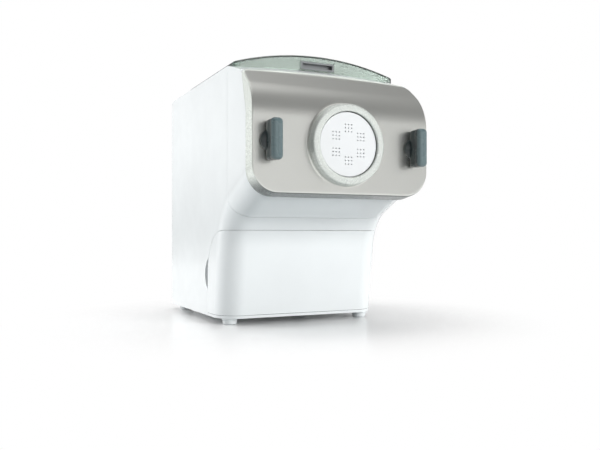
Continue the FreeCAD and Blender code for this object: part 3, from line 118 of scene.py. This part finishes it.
class Recipe:
    """A Principled material and short ways to add procedural nodes to it."""

    def __init__(self, name, colour, roughness, metallic=0.0, coat=0.0, coat_roughness=0.05, ior=1.46):
        self.material = bpy.data.materials.new(name)
        self.material.use_nodes = True
        self.tree = self.material.node_tree
        self.shader = self.tree.nodes["Principled BSDF"]
        self.put("Base Color", (*colour, 1.0))
        self.put("Roughness", roughness)
        self.put("Metallic", metallic)
        self.put("Coat Weight", coat)
        self.put("Coat Roughness", coat_roughness)
        self.put("IOR", ior)
        self.spot = self.node("ShaderNodeTexCoord").outputs["Object"]

    def node(self, kind, inputs=(), **settings):
        return add_node(self.tree, kind, inputs, **settings)

    def put(self, socket, value):
        self.shader.inputs[socket].default_value = value

    def join(self, start, end):
        self.tree.links.new(start, end)

    def noise(self, scale, detail=3.0, roughness=0.5, stretch=None):
        """Noise over the object's own place, in cycles per metre."""
        texture = self.node("ShaderNodeTexNoise", {"Scale": scale, "Detail": detail, "Roughness": roughness})
        place = self.spot
        if stretch:
            mapping = self.node("ShaderNodeMapping", {"Scale": stretch})
            self.join(self.spot, mapping.inputs["Vector"])
            place = mapping.outputs["Vector"]
        self.join(place, texture.inputs["Vector"])
        return texture.outputs["Fac"]

    def ranged(self, value, low, high, spread=NOISE_SPREAD):
        """A value within the spread carried to a range; for noise, the spread holds most of it."""
        mapped = self.node("ShaderNodeMapRange", {
            "From Min": spread[0], "From Max": spread[1], "To Min": low, "To Max": high})
        self.join(value, mapped.inputs["Value"])
        return mapped.outputs["Result"]

    def rough_between(self, value, low, high):
        self.join(self.ranged(value, low, high), self.shader.inputs["Roughness"])

    def coloured(self, value, stops, first, last, interpolation="LINEAR"):
        """Base colour by a value: one colour up to the first stop, the other from the second."""
        ramp = self.node("ShaderNodeValToRGB")
        ramp.color_ramp.interpolation = interpolation
        for element, stop, colour in zip(ramp.color_ramp.elements, stops, (first, last)):
            element.position = stop
            element.color = (*colour, 1.0)
        self.join(value, ramp.inputs["Fac"])
        self.join(ramp.outputs["Color"], self.shader.inputs["Base Color"])

    def tinted(self, value, dark, light):
        """Base colour that wanders between two close colours."""
        self.coloured(value, TINT_STOPS, dark, light)

    def graded(self, axis, span, first, last):
        """Base colour that goes from first to last over a span of an axis, X from the middle out."""
        split = self.node("ShaderNodeSeparateXYZ")
        self.join(self.spot, split.inputs["Vector"])
        place = split.outputs[axis]
        if axis == "X":
            outward = self.node("ShaderNodeMath", operation="ABSOLUTE")
            self.join(place, outward.inputs[0])
            place = outward.outputs["Value"]
        self.coloured(self.ranged(place, 0.0, 1.0, span), (0.0, 1.0), first, last, "EASE")

    def bumped(self, value, strength, distance):
        bump = self.node("ShaderNodeBump", {"Strength": strength, "Distance": distance})
        self.join(value, bump.inputs["Height"])
        self.join(bump.outputs["Normal"], self.shader.inputs["Normal"])


def shade(colour, factor):
    return tuple(min(1.0, channel * factor) for channel in colour)


def moulded_plastic(name, colour, roughness=0.3, coat=0.3, skin=MOULD_SKIN, depth=SKIN_DEPTH):
    """Injection-moulded plastic: faint flow marks in colour and gloss, and a very fine skin."""
    recipe = Recipe(name, colour, roughness, coat=coat)
    recipe.tinted(recipe.noise(FLOW_MARKS, 2.0), shade(colour, 0.98), shade(colour, 1.02))
    recipe.rough_between(recipe.noise(GLOSS_PATCHES, 4.0), roughness * 0.85, roughness * 1.15)
    recipe.bumped(recipe.noise(skin, 2.0), SKIN_BUMP, depth)
    return recipe.material


def lacquered_metal(name, colour, roughness=0.3, metallic=0.85):
    """Metallic lacquer: fine flakes in colour, roughness and bump under a thin clear coat."""
    recipe = Recipe(name, colour, roughness, metallic=metallic, coat=0.15, coat_roughness=0.15)
    flakes = recipe.noise(LACQUER_FLAKES, 2.0, 0.7)
    recipe.tinted(flakes, shade(colour, 0.98), shade(colour, 1.02))
    recipe.rough_between(recipe.noise(LACQUER_GLOSS), roughness * 0.92, roughness * 1.08)
    recipe.bumped(flakes, FLAKE_BUMP, FLAKE_DEPTH)
    return recipe.material


def knob_plastic(name, painted_light_colour, side):
    """Satin knob plastic: a dark blade whose front-facing cap is painted lighter, as painted light from the
    front.
    """
    recipe = Recipe(name, side, 0.28, coat=0.5, coat_roughness=0.12)
    # The cap's front face and round are painted lighter: painted light where the front lamp falls
    recipe.graded("Y", KNOB_PAINTED_LIGHT, painted_light_colour, side)
    recipe.rough_between(recipe.noise(GLOSS_PATCHES, 4.0), 0.24, 0.32)
    recipe.bumped(recipe.noise(MOULD_SKIN, 2.0), SKIN_BUMP, SKIN_DEPTH)
    return recipe.material


def panel_edging_with_painted_shade(name, upper, painted_shade_colour):
    """Lacquer on the panel's side wall: pearl on the upright sides, with painted shade darkening it along
    the bottom.
    """
    recipe = Recipe(name, upper, 0.27, metallic=0.35, coat=0.15, coat_roughness=0.15)
    # The dark bottom of the side wall is painted shade, not the lacquer's own colour
    recipe.graded("Z", PANEL_EDGE_PAINTED_SHADE, painted_shade_colour, upper)
    recipe.rough_between(recipe.noise(LACQUER_GLOSS), 0.25, 0.29)
    recipe.bumped(recipe.noise(LACQUER_FLAKES, 2.0, 0.7), FLAKE_BUMP, FLAKE_DEPTH)
    return recipe.material


def brushed_metal(name, colour, roughness=0.32, along="Y"):
    """Machined metal with fine lines along one axis, long that way and close across it."""
    recipe = Recipe(name, colour, roughness, metallic=1.0)
    lengthwise, crosswise = TOOL_MARKS
    stretch = tuple(lengthwise if axis == along else crosswise for axis in "XYZ")
    lines = recipe.noise(1.0, 3.0, 0.6, stretch)
    recipe.tinted(lines, shade(colour, 0.88), shade(colour, 1.08))
    recipe.rough_between(lines, roughness * 0.7, roughness * 1.3)
    recipe.bumped(lines, 0.1, SKIN_DEPTH)
    return recipe.material


def clear_plastic(name, colour, rim, roughness=0.02):
    """See-through moulded plastic with a smoky tint, and painted shade along both side edges."""
    recipe = Recipe(name, colour, roughness, ior=1.49)
    # The outer sides are painted dark: painted shade for the dark edge the clear sides show edge-on
    recipe.graded("X", LID_PAINTED_EDGE, colour, rim)
    recipe.put("Transmission Weight", 0.92)
    recipe.bumped(recipe.noise(LID_WAVES, 1.0), 0.02, 0.00001)
    recipe.rough_between(recipe.noise(LID_GLOSS, 2.0), roughness, roughness * 1.5)
    return recipe.material


def board_plastic(name, colour):
    """Solder-masked board: faint copper runs under the mask."""
    recipe = Recipe(name, colour, 0.35, coat=0.4)
    brick = recipe.node("ShaderNodeTexBrick", {
        "Scale": COPPER_RUNS, "Mortar Size": 0.02, "Color1": (*colour, 1.0),
        "Color2": (*shade(colour, 1.25), 1.0), "Mortar": (*shade(colour, 1.8), 1.0)})
    recipe.join(recipe.spot, brick.inputs["Vector"])
    recipe.join(brick.outputs["Color"], recipe.shader.inputs["Base Color"])
    recipe.bumped(brick.outputs["Fac"], 0.2, 0.00003)
    return recipe.material


# Finishes by material slot, with two more for the lid's grip and the panel's side wall, the latter with
# painted shade along its bottom
FINISHES = {
    "white_gloss": moulded_plastic("white_gloss", (0.87, 0.895, 0.9), 0.22, 0.5),
    "champagne_metal": lacquered_metal("champagne_lacquer", (0.72, 0.725, 0.69)),
    "pearl": lacquered_metal("pearl_lacquer", (0.66, 0.69, 0.655), 0.27, 0.35),
    # The knob's lighter first colour is painted light on its front
    "slate": knob_plastic("slate_satin_painted_light", (0.11, 0.158, 0.167), (0.028, 0.042, 0.044)),
    # The lid's dark second colour is painted shade along its side edges
    "lid_clear": clear_plastic("smoke_clear", (0.60, 0.67, 0.625), (0.10, 0.14, 0.125)),
    "ivory": moulded_plastic("food_white", (0.80, 0.812, 0.818), 0.35, 0.1),
    "steel": brushed_metal("turned_steel", (0.55, 0.55, 0.56)),
    "grey_plastic": moulded_plastic("works_grey", (0.36, 0.38, 0.38), 0.4, 0.1),
    "alloy": brushed_metal("cast_alloy", (0.62, 0.62, 0.63), 0.45, "Z"),
    "rubber": moulded_plastic("black_rubber", (0.02, 0.02, 0.02), 0.65, 0.0, RUBBER_SKIN, RUBBER_DEPTH),
    "display": moulded_plastic("display_gloss", (0.008, 0.01, 0.012), 0.06, 1.0),
    "board": board_plastic("board_mask", (0.02, 0.14, 0.05)),
    "bronze": brushed_metal("sintered_bronze", (0.5, 0.33, 0.14), 0.5),
    "nylon": moulded_plastic("gear_nylon", (0.78, 0.75, 0.66), 0.42, 0.05),
    "grip_grey": moulded_plastic("grip_grey", (0.2, 0.21, 0.215), 0.3, 0.4),
    # The side wall's dark second colour is painted shade along its bottom
    "panel_edge_painted_shade": panel_edging_with_painted_shade("panel_edge_lacquer", (0.9, 0.94, 0.88), (0.16, 0.175, 0.168)),
}


def dress_cad_nodes():
    """Give every carried-over node the finish of its material slot, and the lid's grip its own."""
    finishes = {part["node"]: part["material_slot"] for part in frame["record"]["subparts"]}
    finishes["lid_handle"] = "grip_grey"
    for name, item in frame["nodes"].items():
        for material_slot in item.material_slots:
            material_slot.material = FINISHES[finishes[name]]


# Shapes as grids of points, in millimetres up to the mesh

MERGE_DISTANCE = 0.00001
AXIS_HEIGHT = 197.5


def grid_piece(name, grid, body, slot, wrap_rows=False, extra=(), edging=None, edging_rows=0):
    """A mesh from grids of points: the columns always close on themselves, and the rows may.

    Each grid has the shape rows x columns x 3; neighbouring points make one four-sided face.
    The first edging_rows rows of faces may take a finish of their own.
    """
    points, faces, start = [], [], 0
    for sheet in (grid, *extra):
        rows, columns, _ = sheet.shape
        row_from = np.arange(rows if wrap_rows else rows - 1)
        row_to = (row_from + 1) % rows
        column_from = np.arange(columns)
        column_to = (column_from + 1) % columns
        corner = start + row_from[:, None] * columns + column_from[None]
        right = start + row_from[:, None] * columns + column_to[None]
        above = start + row_to[:, None] * columns + column_from[None]
        across = start + row_to[:, None] * columns + column_to[None]
        points.append(sheet.reshape(-1, 3))
        faces.append(np.stack([corner, right, across, above], axis=-1).reshape(-1, 4))
        start += rows * columns
    mesh = bpy.data.meshes.new(name)
    mesh.from_pydata((np.concatenate(points) * MM).tolist(), [], np.concatenate(faces).tolist())
    mesh.materials.append(FINISHES[slot])
    if edging:
        mesh.materials.append(FINISHES[edging])
        marks = np.zeros(len(mesh.polygons), dtype=np.int32)
        marks[:edging_rows * grid.shape[1]] = 1
        mesh.polygons.foreach_set("material_index", marks)
    shaped = bmesh.new()
    shaped.from_mesh(mesh)
    bmesh.ops.remove_doubles(shaped, verts=shaped.verts, dist=MERGE_DISTANCE)
    bmesh.ops.recalc_face_normals(shaped, faces=shaped.faces)
    shaped.to_mesh(mesh)
    shaped.free()
    mesh.shade_smooth()
    piece = bpy.data.objects.new(name, mesh)
    bpy.context.collection.objects.link(piece)
    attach(piece, body)
    return piece


def rounded_rectangle(half_width, low, high, low_radius, high_radius, count):
    """Points evenly spaced along four quarter circles and the straight runs between them."""
    corners = [
        (half_width - low_radius, low + low_radius, low_radius, -90),
        (half_width - high_radius, high - high_radius, high_radius, 0),
        (-half_width + high_radius, high - high_radius, high_radius, 90),
        (-half_width + low_radius, low + low_radius, low_radius, 180),
    ]
    turn = np.radians(np.linspace(0, 90, 65))
    path = np.concatenate([
        np.stack([x + radius * np.cos(turn + math.radians(first)),
                  z + radius * np.sin(turn + math.radians(first))], axis=1)
        for x, z, radius, first in corners
    ])
    path = np.concatenate([path, path[:1]])
    along = np.concatenate([[0], np.cumsum(np.hypot(*np.diff(path, axis=0).T))])
    stops = np.linspace(0, along[-1], count, endpoint=False)
    return np.stack([np.interp(stops, along, path[:, 0]), np.interp(stops, along, path[:, 1])], axis=1)


def inward(loop):
    """The run from the point before to the point after, turned a quarter to the left."""
    run = np.roll(loop, -1, axis=0) - np.roll(loop, 1, axis=0)
    run /= np.linalg.norm(run, axis=1, keepdims=True)
    return np.stack([-run[:, 1], run[:, 0]], axis=1)


def quarter(radius, steps):
    """(inset, setback) pairs from the side wall round a quarter circle to the face."""
    turn = np.linspace(0, math.pi / 2, steps)
    return np.stack([radius * (1 - np.cos(turn)), radius * (1 - np.sin(turn))], axis=1)


def arc(centre_radius, centre_depth, radius, first, last, steps=9):
    """(radius, depth) pairs on an arc of a turned profile; angles are in degrees."""
    turn = np.radians(np.linspace(first, last, steps))
    return [(centre_radius + radius * math.cos(a), centre_depth + radius * math.sin(a)) for a in turn]


def turned(profile, count):
    """Each (radius, place) pair swept round a full turn: radius times cosine and sine, and place."""
    turn = np.linspace(0, 2 * math.pi, count, endpoint=False)
    radius = np.array([pair[0] for pair in profile])[:, None]
    place = np.array([pair[1] for pair in profile])[:, None]
    return radius * np.cos(turn)[None], radius * np.sin(turn)[None], place + 0 * turn[None]


def turned_level(profile, x=0.0, count=192):
    """A profile turned about a line parallel to the drive axis, its places measured along Y."""
    sideways, upwards, depth = turned(profile, count)
    return np.stack([x + sideways, depth, AXIS_HEIGHT + upwards], axis=-1)


def turned_upright(profile, x, y, count):
    """A profile turned about an upright line, its places measured up from the floor."""
    sideways, endways, height = turned(profile, count)
    return np.stack([x + sideways, y + endways, height], axis=-1)


# Front panel: a moulded shell with a wide rounded brow

PANEL_FACE = -148.0
PANEL_HALF = 105.0
PANEL_LOW = 145.5
PANEL_HIGH = 275.5
PANEL_TOP_CORNER = 6.0
PANEL_LOW_CORNER = 28.0
PANEL_ROUND = 1.9
PANEL_WALL = 2.5
PANEL_COLUMNS = 560
RING_SEAT = 44.0

BROW_START = 222.0
BROW_RADIUS = 50.0
BROW_LEAN = math.radians(50.0)
BROW_NARROWING = 2.8
BROW_REACH = 50.0
BROW_TAPER = 1.3

CROWN_START = 230.0
CROWN_RISE = 3.2
CROWN_SINK = 1.6

# The front frame behind the panel: upright, then leaning back to its crest
FRAME_FACE = -130.4
FRAME_BEND = 229.0
FRAME_LEAN = 0.445
FRAME_CREST = 275.0
PANEL_BACK = -110.2
BACK_DROP = 3.3
BACK_RISE = 1.6

WALL_ROWS = 8
ROUND_ROWS = 9
RIM_INSETS = (2.6, 3.6, 5.0)
FACE_ROWS = 44
INNER_ROWS = 16
INNER_END = 0.02
EDGING_ROWS = WALL_ROWS + 3


def brow_depth(height):
    """Upright face, then an arc, then a straight lean that leaves the arc at its tangent."""
    rise = height - BROW_START
    arc_rise = BROW_RADIUS * math.sin(BROW_LEAN)
    on_arc = BROW_RADIUS - np.sqrt(BROW_RADIUS ** 2 - np.clip(rise, 0, arc_rise) ** 2)
    return PANEL_FACE + on_arc + np.clip(rise - arc_rise, 0, None) * math.tan(BROW_LEAN)


def brow_narrowing(height):
    """The panel grows narrower up its brow by a power of the rise, slowly at first."""
    rise = np.clip(height - BROW_START, 0, None)
    return BROW_NARROWING * (rise / BROW_REACH) ** BROW_TAPER


def panel_outline(low, high):
    """A rounded rectangle, narrower up its brow, whose top is crowned by a parabola across it."""
    loop = rounded_rectangle(PANEL_HALF, low, high, PANEL_LOW_CORNER, PANEL_TOP_CORNER, PANEL_COLUMNS)
    x, z = loop[:, 0], loop[:, 1]
    upper = np.clip((z - CROWN_START) / (high - CROWN_START), 0, 1)
    crown = CROWN_RISE * (1 - (x / PANEL_HALF) ** 2) * upper - CROWN_SINK * upper
    return np.stack([x * (1 - brow_narrowing(z) / PANEL_HALF), z + crown], axis=1)


def frame_face(height):
    """Where the panel's back edge lies on the front frame: a constant, then a straight slope."""
    return FRAME_FACE + FRAME_LEAN * np.clip(height - FRAME_BEND, 0, FRAME_CREST - FRAME_BEND)


def panel_grid():
    """Rows go forward up the side wall, round its edge, in over the face and back inside the wall.

    The wall runs straight from the frame to the face, a quarter circle joins them, the face
    spreads evenly from the rim to the ring's seat, and the inside is the face set back by the wall.
    """
    front = panel_outline(PANEL_LOW, PANEL_HIGH)
    back = panel_outline(PANEL_LOW - BACK_DROP, PANEL_HIGH + BACK_RISE)
    to_middle = inward(front)
    edge_front = np.column_stack([front[:, 0], brow_depth(front[:, 1]), front[:, 1]])
    edge_back = np.column_stack([back[:, 0], np.minimum(frame_face(back[:, 1]), PANEL_BACK), back[:, 1]])
    wall = edge_back - edge_front
    wall_run = wall / np.linalg.norm(wall, axis=1, keepdims=True)
    round_start = edge_front + wall_run * PANEL_ROUND
    rows = [edge_back + (round_start - edge_back) * k for k in np.linspace(0, 1, WALL_ROWS)]

    def on_face(inset, setback):
        flat = front + to_middle * inset
        spot = np.column_stack([flat[:, 0], brow_depth(flat[:, 1]), flat[:, 1]])
        return spot + wall_run * setback

    rows += [on_face(inset, setback) for inset, setback in quarter(PANEL_ROUND, ROUND_ROWS)[1:]]
    rows += [on_face(inset, 0.0) for inset in RIM_INSETS]
    rim = rows[-1][:, [0, 2]]
    bearing = np.arctan2(rim[:, 1] - AXIS_HEIGHT, rim[:, 0])
    seat = np.stack([RING_SEAT * np.cos(bearing), AXIS_HEIGHT + RING_SEAT * np.sin(bearing)], axis=1)

    def across(k, sink):
        flat = rim + (seat - rim) * k
        return np.column_stack([flat[:, 0], brow_depth(flat[:, 1]) + sink, flat[:, 1]])

    rows += [across(k, 0.0) for k in np.linspace(0, 1, FACE_ROWS)[1:]]
    rows += [across(k, PANEL_WALL) for k in np.linspace(1, INNER_END, INNER_ROWS)]
    upright = np.zeros(len(front))
    rows.append(edge_back + np.column_stack([to_middle[:, 0], upright, to_middle[:, 1]]) * PANEL_WALL)
    return np.stack(rows)


def add_panel():
    panel = grid_piece("front_panel_shell", panel_grid(), "panel", "champagne_metal",
                       wrap_rows=True, edging="panel_edge_painted_shade", edging_rows=EDGING_ROWS)
    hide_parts("front_panel")


# Panel ring: (radius, depth) pairs out of the panel by a cove, over a rounded face and down the bore

RING_COVE = [(45.6, -146.5), (45.6, -147.95)] + arc(45.6, -149.9, 1.95, 90, 178)[1:]
RING_WALL = [(43.3, -151.5), (42.6, -155.8)] + arc(40.2, -156.2, 2.3, 8, -90, 10)
RING_LIP = [(37.6, -158.6)] + arc(35.6, -157.4, 1.1, -90, -180, 7)
RING_BORE = [(34.4, -151.6), (36.1, -151.6), (36.1, -146.5)]


def add_ring():
    """The ring's profile turned about the drive axis; the cove has the panel's finish."""
    profile = RING_COVE + RING_WALL + RING_LIP + RING_BORE
    ring = grid_piece("panel_ring_turned", turned_level(profile), "panel", "pearl", wrap_rows=True,
                      edging="champagne_metal", edging_rows=len(RING_COVE) - 1)
    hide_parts("panel_ring")


# Knobs: a round hub and an upright blade with a rounded front cap

KNOBS = (("left_knob", "knob_left", -85.5), ("right_knob", "knob_right", 85.5))
KNOB_HALF_WIDTH = 6.25
KNOB_HALF_HEIGHT = 20.75
KNOB_CORNER = 4.4
KNOB_LEAST_CORNER = 0.4
KNOB_FRONT = -169.0
KNOB_CAP_ROUND = 4.4
KNOB_COLUMNS = 128

# (inset, depth) pairs: the blade's foot, its side, the groove under the cap and the cap's side
BLADE_SIDE = [
    (6.2, -149.2), (2.5, -149.3), (1.2, -149.8), (0.6, -151.0), (0.35, -153.0), (0.3, -159.9),
    (0.5, -160.3), (0.95, -160.5), (0.95, -160.9), (0.3, -161.1), (0.05, -161.5), (0.0, -162.4),
    (0.0, KNOB_FRONT + KNOB_CAP_ROUND),
]
CAP_INSETS = (5.2, 6.0, 6.2)

HUB_PROFILE = [(0.0, -141.0), (6.0, -141.0), (6.0, -148.3), (11.6, -148.3)]
HUB_PROFILE += arc(10.5, -150.4, 1.1, 0, -90, 6) + [(9.0, -152.6), (0.0, -152.9)]
HUB_COLUMNS = 96


def blade_row(x, inset, depth):
    """The blade's outline at one depth: a rounded rectangle about the drive's height, in by the inset."""
    half_width = KNOB_HALF_WIDTH - inset
    half_height = KNOB_HALF_HEIGHT - inset
    corner = min(max(KNOB_CORNER - inset, KNOB_LEAST_CORNER), half_width)
    loop = rounded_rectangle(half_width, -half_height, half_height, corner, corner, KNOB_COLUMNS)
    return np.column_stack([x + loop[:, 0], np.full(len(loop), depth), AXIS_HEIGHT + loop[:, 1]])


def knob_blade(x):
    """Rows forward up the blade's side, round the cap by a quarter circle and in over its front."""
    rows = BLADE_SIDE + [(inset, KNOB_FRONT + setback) for inset, setback in quarter(KNOB_CAP_ROUND, 10)[1:]]
    rows += [(inset, KNOB_FRONT) for inset in CAP_INSETS]
    return np.stack([blade_row(x, inset, depth) for inset, depth in rows])


def add_knobs():
    for body, node_name, x in KNOBS:
        knob = grid_piece(f"{node_name}_grip", turned_level(HUB_PROFILE, x, HUB_COLUMNS), body, "slate",
                          extra=(knob_blade(x),))
        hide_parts(node_name)


# Feet: (radius, height) pairs with a soft lower edge, a slight waist and a flange under the base

FOOT_PROFILE = [
    (0.0, 0.0), (6.6, 0.0), (7.4, 0.25), (7.9, 0.9), (8.2, 2.0), (8.6, 4.6), (8.9, 5.2), (9.3, 5.6),
    (9.35, 7.5), (0.0, 7.5),
]
FOOT_PLACES = [(x, y) for x in (-86.0, 86.0) for y in (-30.0, 147.0)]
FOOT_COLUMNS = 64


def add_feet():
    """The foot's profile turned about each of the four places."""
    grids = [turned_upright(FOOT_PROFILE, x, y, FOOT_COLUMNS) for x, y in FOOT_PLACES]
    feet = grid_piece("turned_feet", grids[0], "machine", "white_gloss", extra=grids[1:])
    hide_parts("feet")


# Stage: a pale floor, a white surround and soft studio light

FLOOR_REACH = 6.0
FLOOR_WHITE = (0.93, 0.93, 0.93)
FLOOR_WHITER = (0.95, 0.95, 0.95)
FLOOR_FADE = (0.12, 0.33)
FLOOR_BOUNCE = (0.42, 0.45, 0.46)


def add_floor():
    """A pale floor that keeps the shadow near the machine and turns plain white further out.

    Light that bounces off it to the machine comes from a darker, slightly cool floor.
    """
    mesh = bpy.data.meshes.new("floor")
    edge = FLOOR_REACH
    mesh.from_pydata([(-edge, -edge, 0), (edge, -edge, 0), (edge, edge, 0), (-edge, edge, 0)], [],
                     [(0, 1, 2, 3)])
    floor = bpy.data.objects.new("floor", mesh)
    bpy.context.collection.objects.link(floor)
    recipe = Recipe("pale_floor", FLOOR_WHITE, 0.22)
    recipe.tinted(recipe.noise(3.0), FLOOR_WHITE, FLOOR_WHITER)
    distance = recipe.node("ShaderNodeVectorMath", operation="LENGTH")
    fade = recipe.node("ShaderNodeMapRange", {"From Min": FLOOR_FADE[0], "From Max": FLOOR_FADE[1]},
                       interpolation_type="SMOOTHSTEP")
    share = recipe.node("ShaderNodeMath", operation="MULTIPLY")
    white = recipe.node("ShaderNodeEmission")
    shown = recipe.node("ShaderNodeMixShader")
    recipe.join(recipe.spot, distance.inputs[0])
    recipe.join(distance.outputs["Value"], fade.inputs["Value"])
    recipe.join(fade.outputs["Result"], share.inputs[0])
    recipe.join(seen_directly(recipe.tree), share.inputs[1])
    recipe.join(share.outputs["Value"], shown.inputs["Fac"])
    recipe.join(recipe.shader.outputs["BSDF"], shown.inputs[1])
    recipe.join(white.outputs["Emission"], shown.inputs[2])
    path = recipe.node("ShaderNodeLightPath")
    muted = recipe.node("ShaderNodeBsdfDiffuse", {"Color": (*FLOOR_BOUNCE, 1.0)})
    bounce = recipe.node("ShaderNodeMixShader")
    recipe.join(path.outputs["Is Diffuse Ray"], bounce.inputs["Fac"])
    recipe.join(shown.outputs["Shader"], bounce.inputs[1])
    recipe.join(muted.outputs["BSDF"], bounce.inputs[2])
    recipe.join(bounce.outputs["Shader"], recipe.tree.nodes["Material Output"].inputs["Surface"])
    mesh.materials.append(recipe.material)


# The studio's brightness by the height of the direction: 0 at the nadir, 0.5 level, 1 overhead
STUDIO = ((0.0, 0.5), (0.5, 0.45), (0.57, 1.2), (0.66, 0.72), (0.8, 0.31), (0.92, 0.42), (1.0, 1.9))

# Towards the window in front of the machine the studio is at full strength, elsewhere below it
WINDOW = (0.0, -1.0, 0.0)
WINDOW_RANGE = (0.80, 0.95)
AWAY_FROM_WINDOW = 0.55


def add_world():
    """White to the camera; to the surfaces a studio with a bright ceiling over a darker wall."""
    world = bpy.data.worlds.new("studio")
    bpy.context.scene.world = world
    world.use_nodes = True
    tree = world.node_tree
    studio = tree.nodes["Background"]
    direction = add_node(tree, "ShaderNodeTexCoord").outputs["Generated"]
    split = add_node(tree, "ShaderNodeSeparateXYZ")
    height = add_node(tree, "ShaderNodeMapRange", {"From Min": -1.0})
    ramp = add_node(tree, "ShaderNodeValToRGB")
    ramp.color_ramp.interpolation = "EASE"
    for index, (place, level) in enumerate(STUDIO):
        stops = ramp.color_ramp.elements
        stop = stops[index] if index < 2 else stops.new(place)
        stop.position = place
        stop.color = (level, level, level, 1.0)
    tree.links.new(direction, split.inputs["Vector"])
    tree.links.new(split.outputs["Z"], height.inputs["Value"])
    tree.links.new(height.outputs["Result"], ramp.inputs["Fac"])
    tree.links.new(ramp.outputs["Color"], studio.inputs["Color"])
    towards = add_node(tree, "ShaderNodeVectorMath", {1: WINDOW}, operation="DOT_PRODUCT")
    falloff = add_node(tree, "ShaderNodeMapRange", {
        "From Min": WINDOW_RANGE[0], "From Max": WINDOW_RANGE[1], "To Min": AWAY_FROM_WINDOW,
    }, interpolation_type="SMOOTHSTEP")
    tree.links.new(direction, towards.inputs[0])
    tree.links.new(towards.outputs["Value"], falloff.inputs["Value"])
    tree.links.new(falloff.outputs["Result"], studio.inputs["Strength"])
    white = add_node(tree, "ShaderNodeBackground", {"Color": (1, 1, 1, 1)})
    shown = add_node(tree, "ShaderNodeMixShader")
    tree.links.new(seen_directly(tree), shown.inputs["Fac"])
    tree.links.new(studio.outputs["Background"], shown.inputs[1])
    tree.links.new(white.outputs["Background"], shown.inputs[2])
    tree.links.new(shown.outputs["Shader"], tree.nodes["World Output"].inputs["Surface"])


# Lamps: name, place, what it is aimed at, width, height and power in watts
LAMPS = (
    ("top_box", (0.0, 0.45, 1.6), (0, 0.2, 0.15), 1.6, 1.2, 17),
    ("left_box", (-1.6, 1.0, 0.6), (0, 0, 0.15), 1.2, 1.2, 30),
    ("front_box", (1.1, -1.6, 0.5), (0, 0, 0.15), 1.2, 0.9, 31),
)


def add_softbox(name, place, target, width, height, power):
    """A soft lamp that lights the surfaces without showing in their gloss."""
    data = bpy.data.lights.new(name, "AREA")
    data.shape = "RECTANGLE"
    data.size = width
    data.size_y = height
    data.energy = power
    lamp = bpy.data.objects.new(name, data)
    bpy.context.collection.objects.link(lamp)
    lamp.location = place
    lamp.visible_glossy = False
    aim = np.array(target) - np.array(place)
    flat = math.hypot(aim[0], aim[1])
    lamp.rotation_euler = (math.atan2(flat, -aim[2]), 0, math.atan2(-aim[0], aim[1]))


add_camera()
dress_cad_nodes()
add_panel()
add_ring()
add_knobs()
add_feet()
add_floor()
add_world()
for lamp_values in LAMPS:
    add_softbox(*lamp_values)

scene = bpy.context.scene
scene.view_settings.view_transform = "Standard"
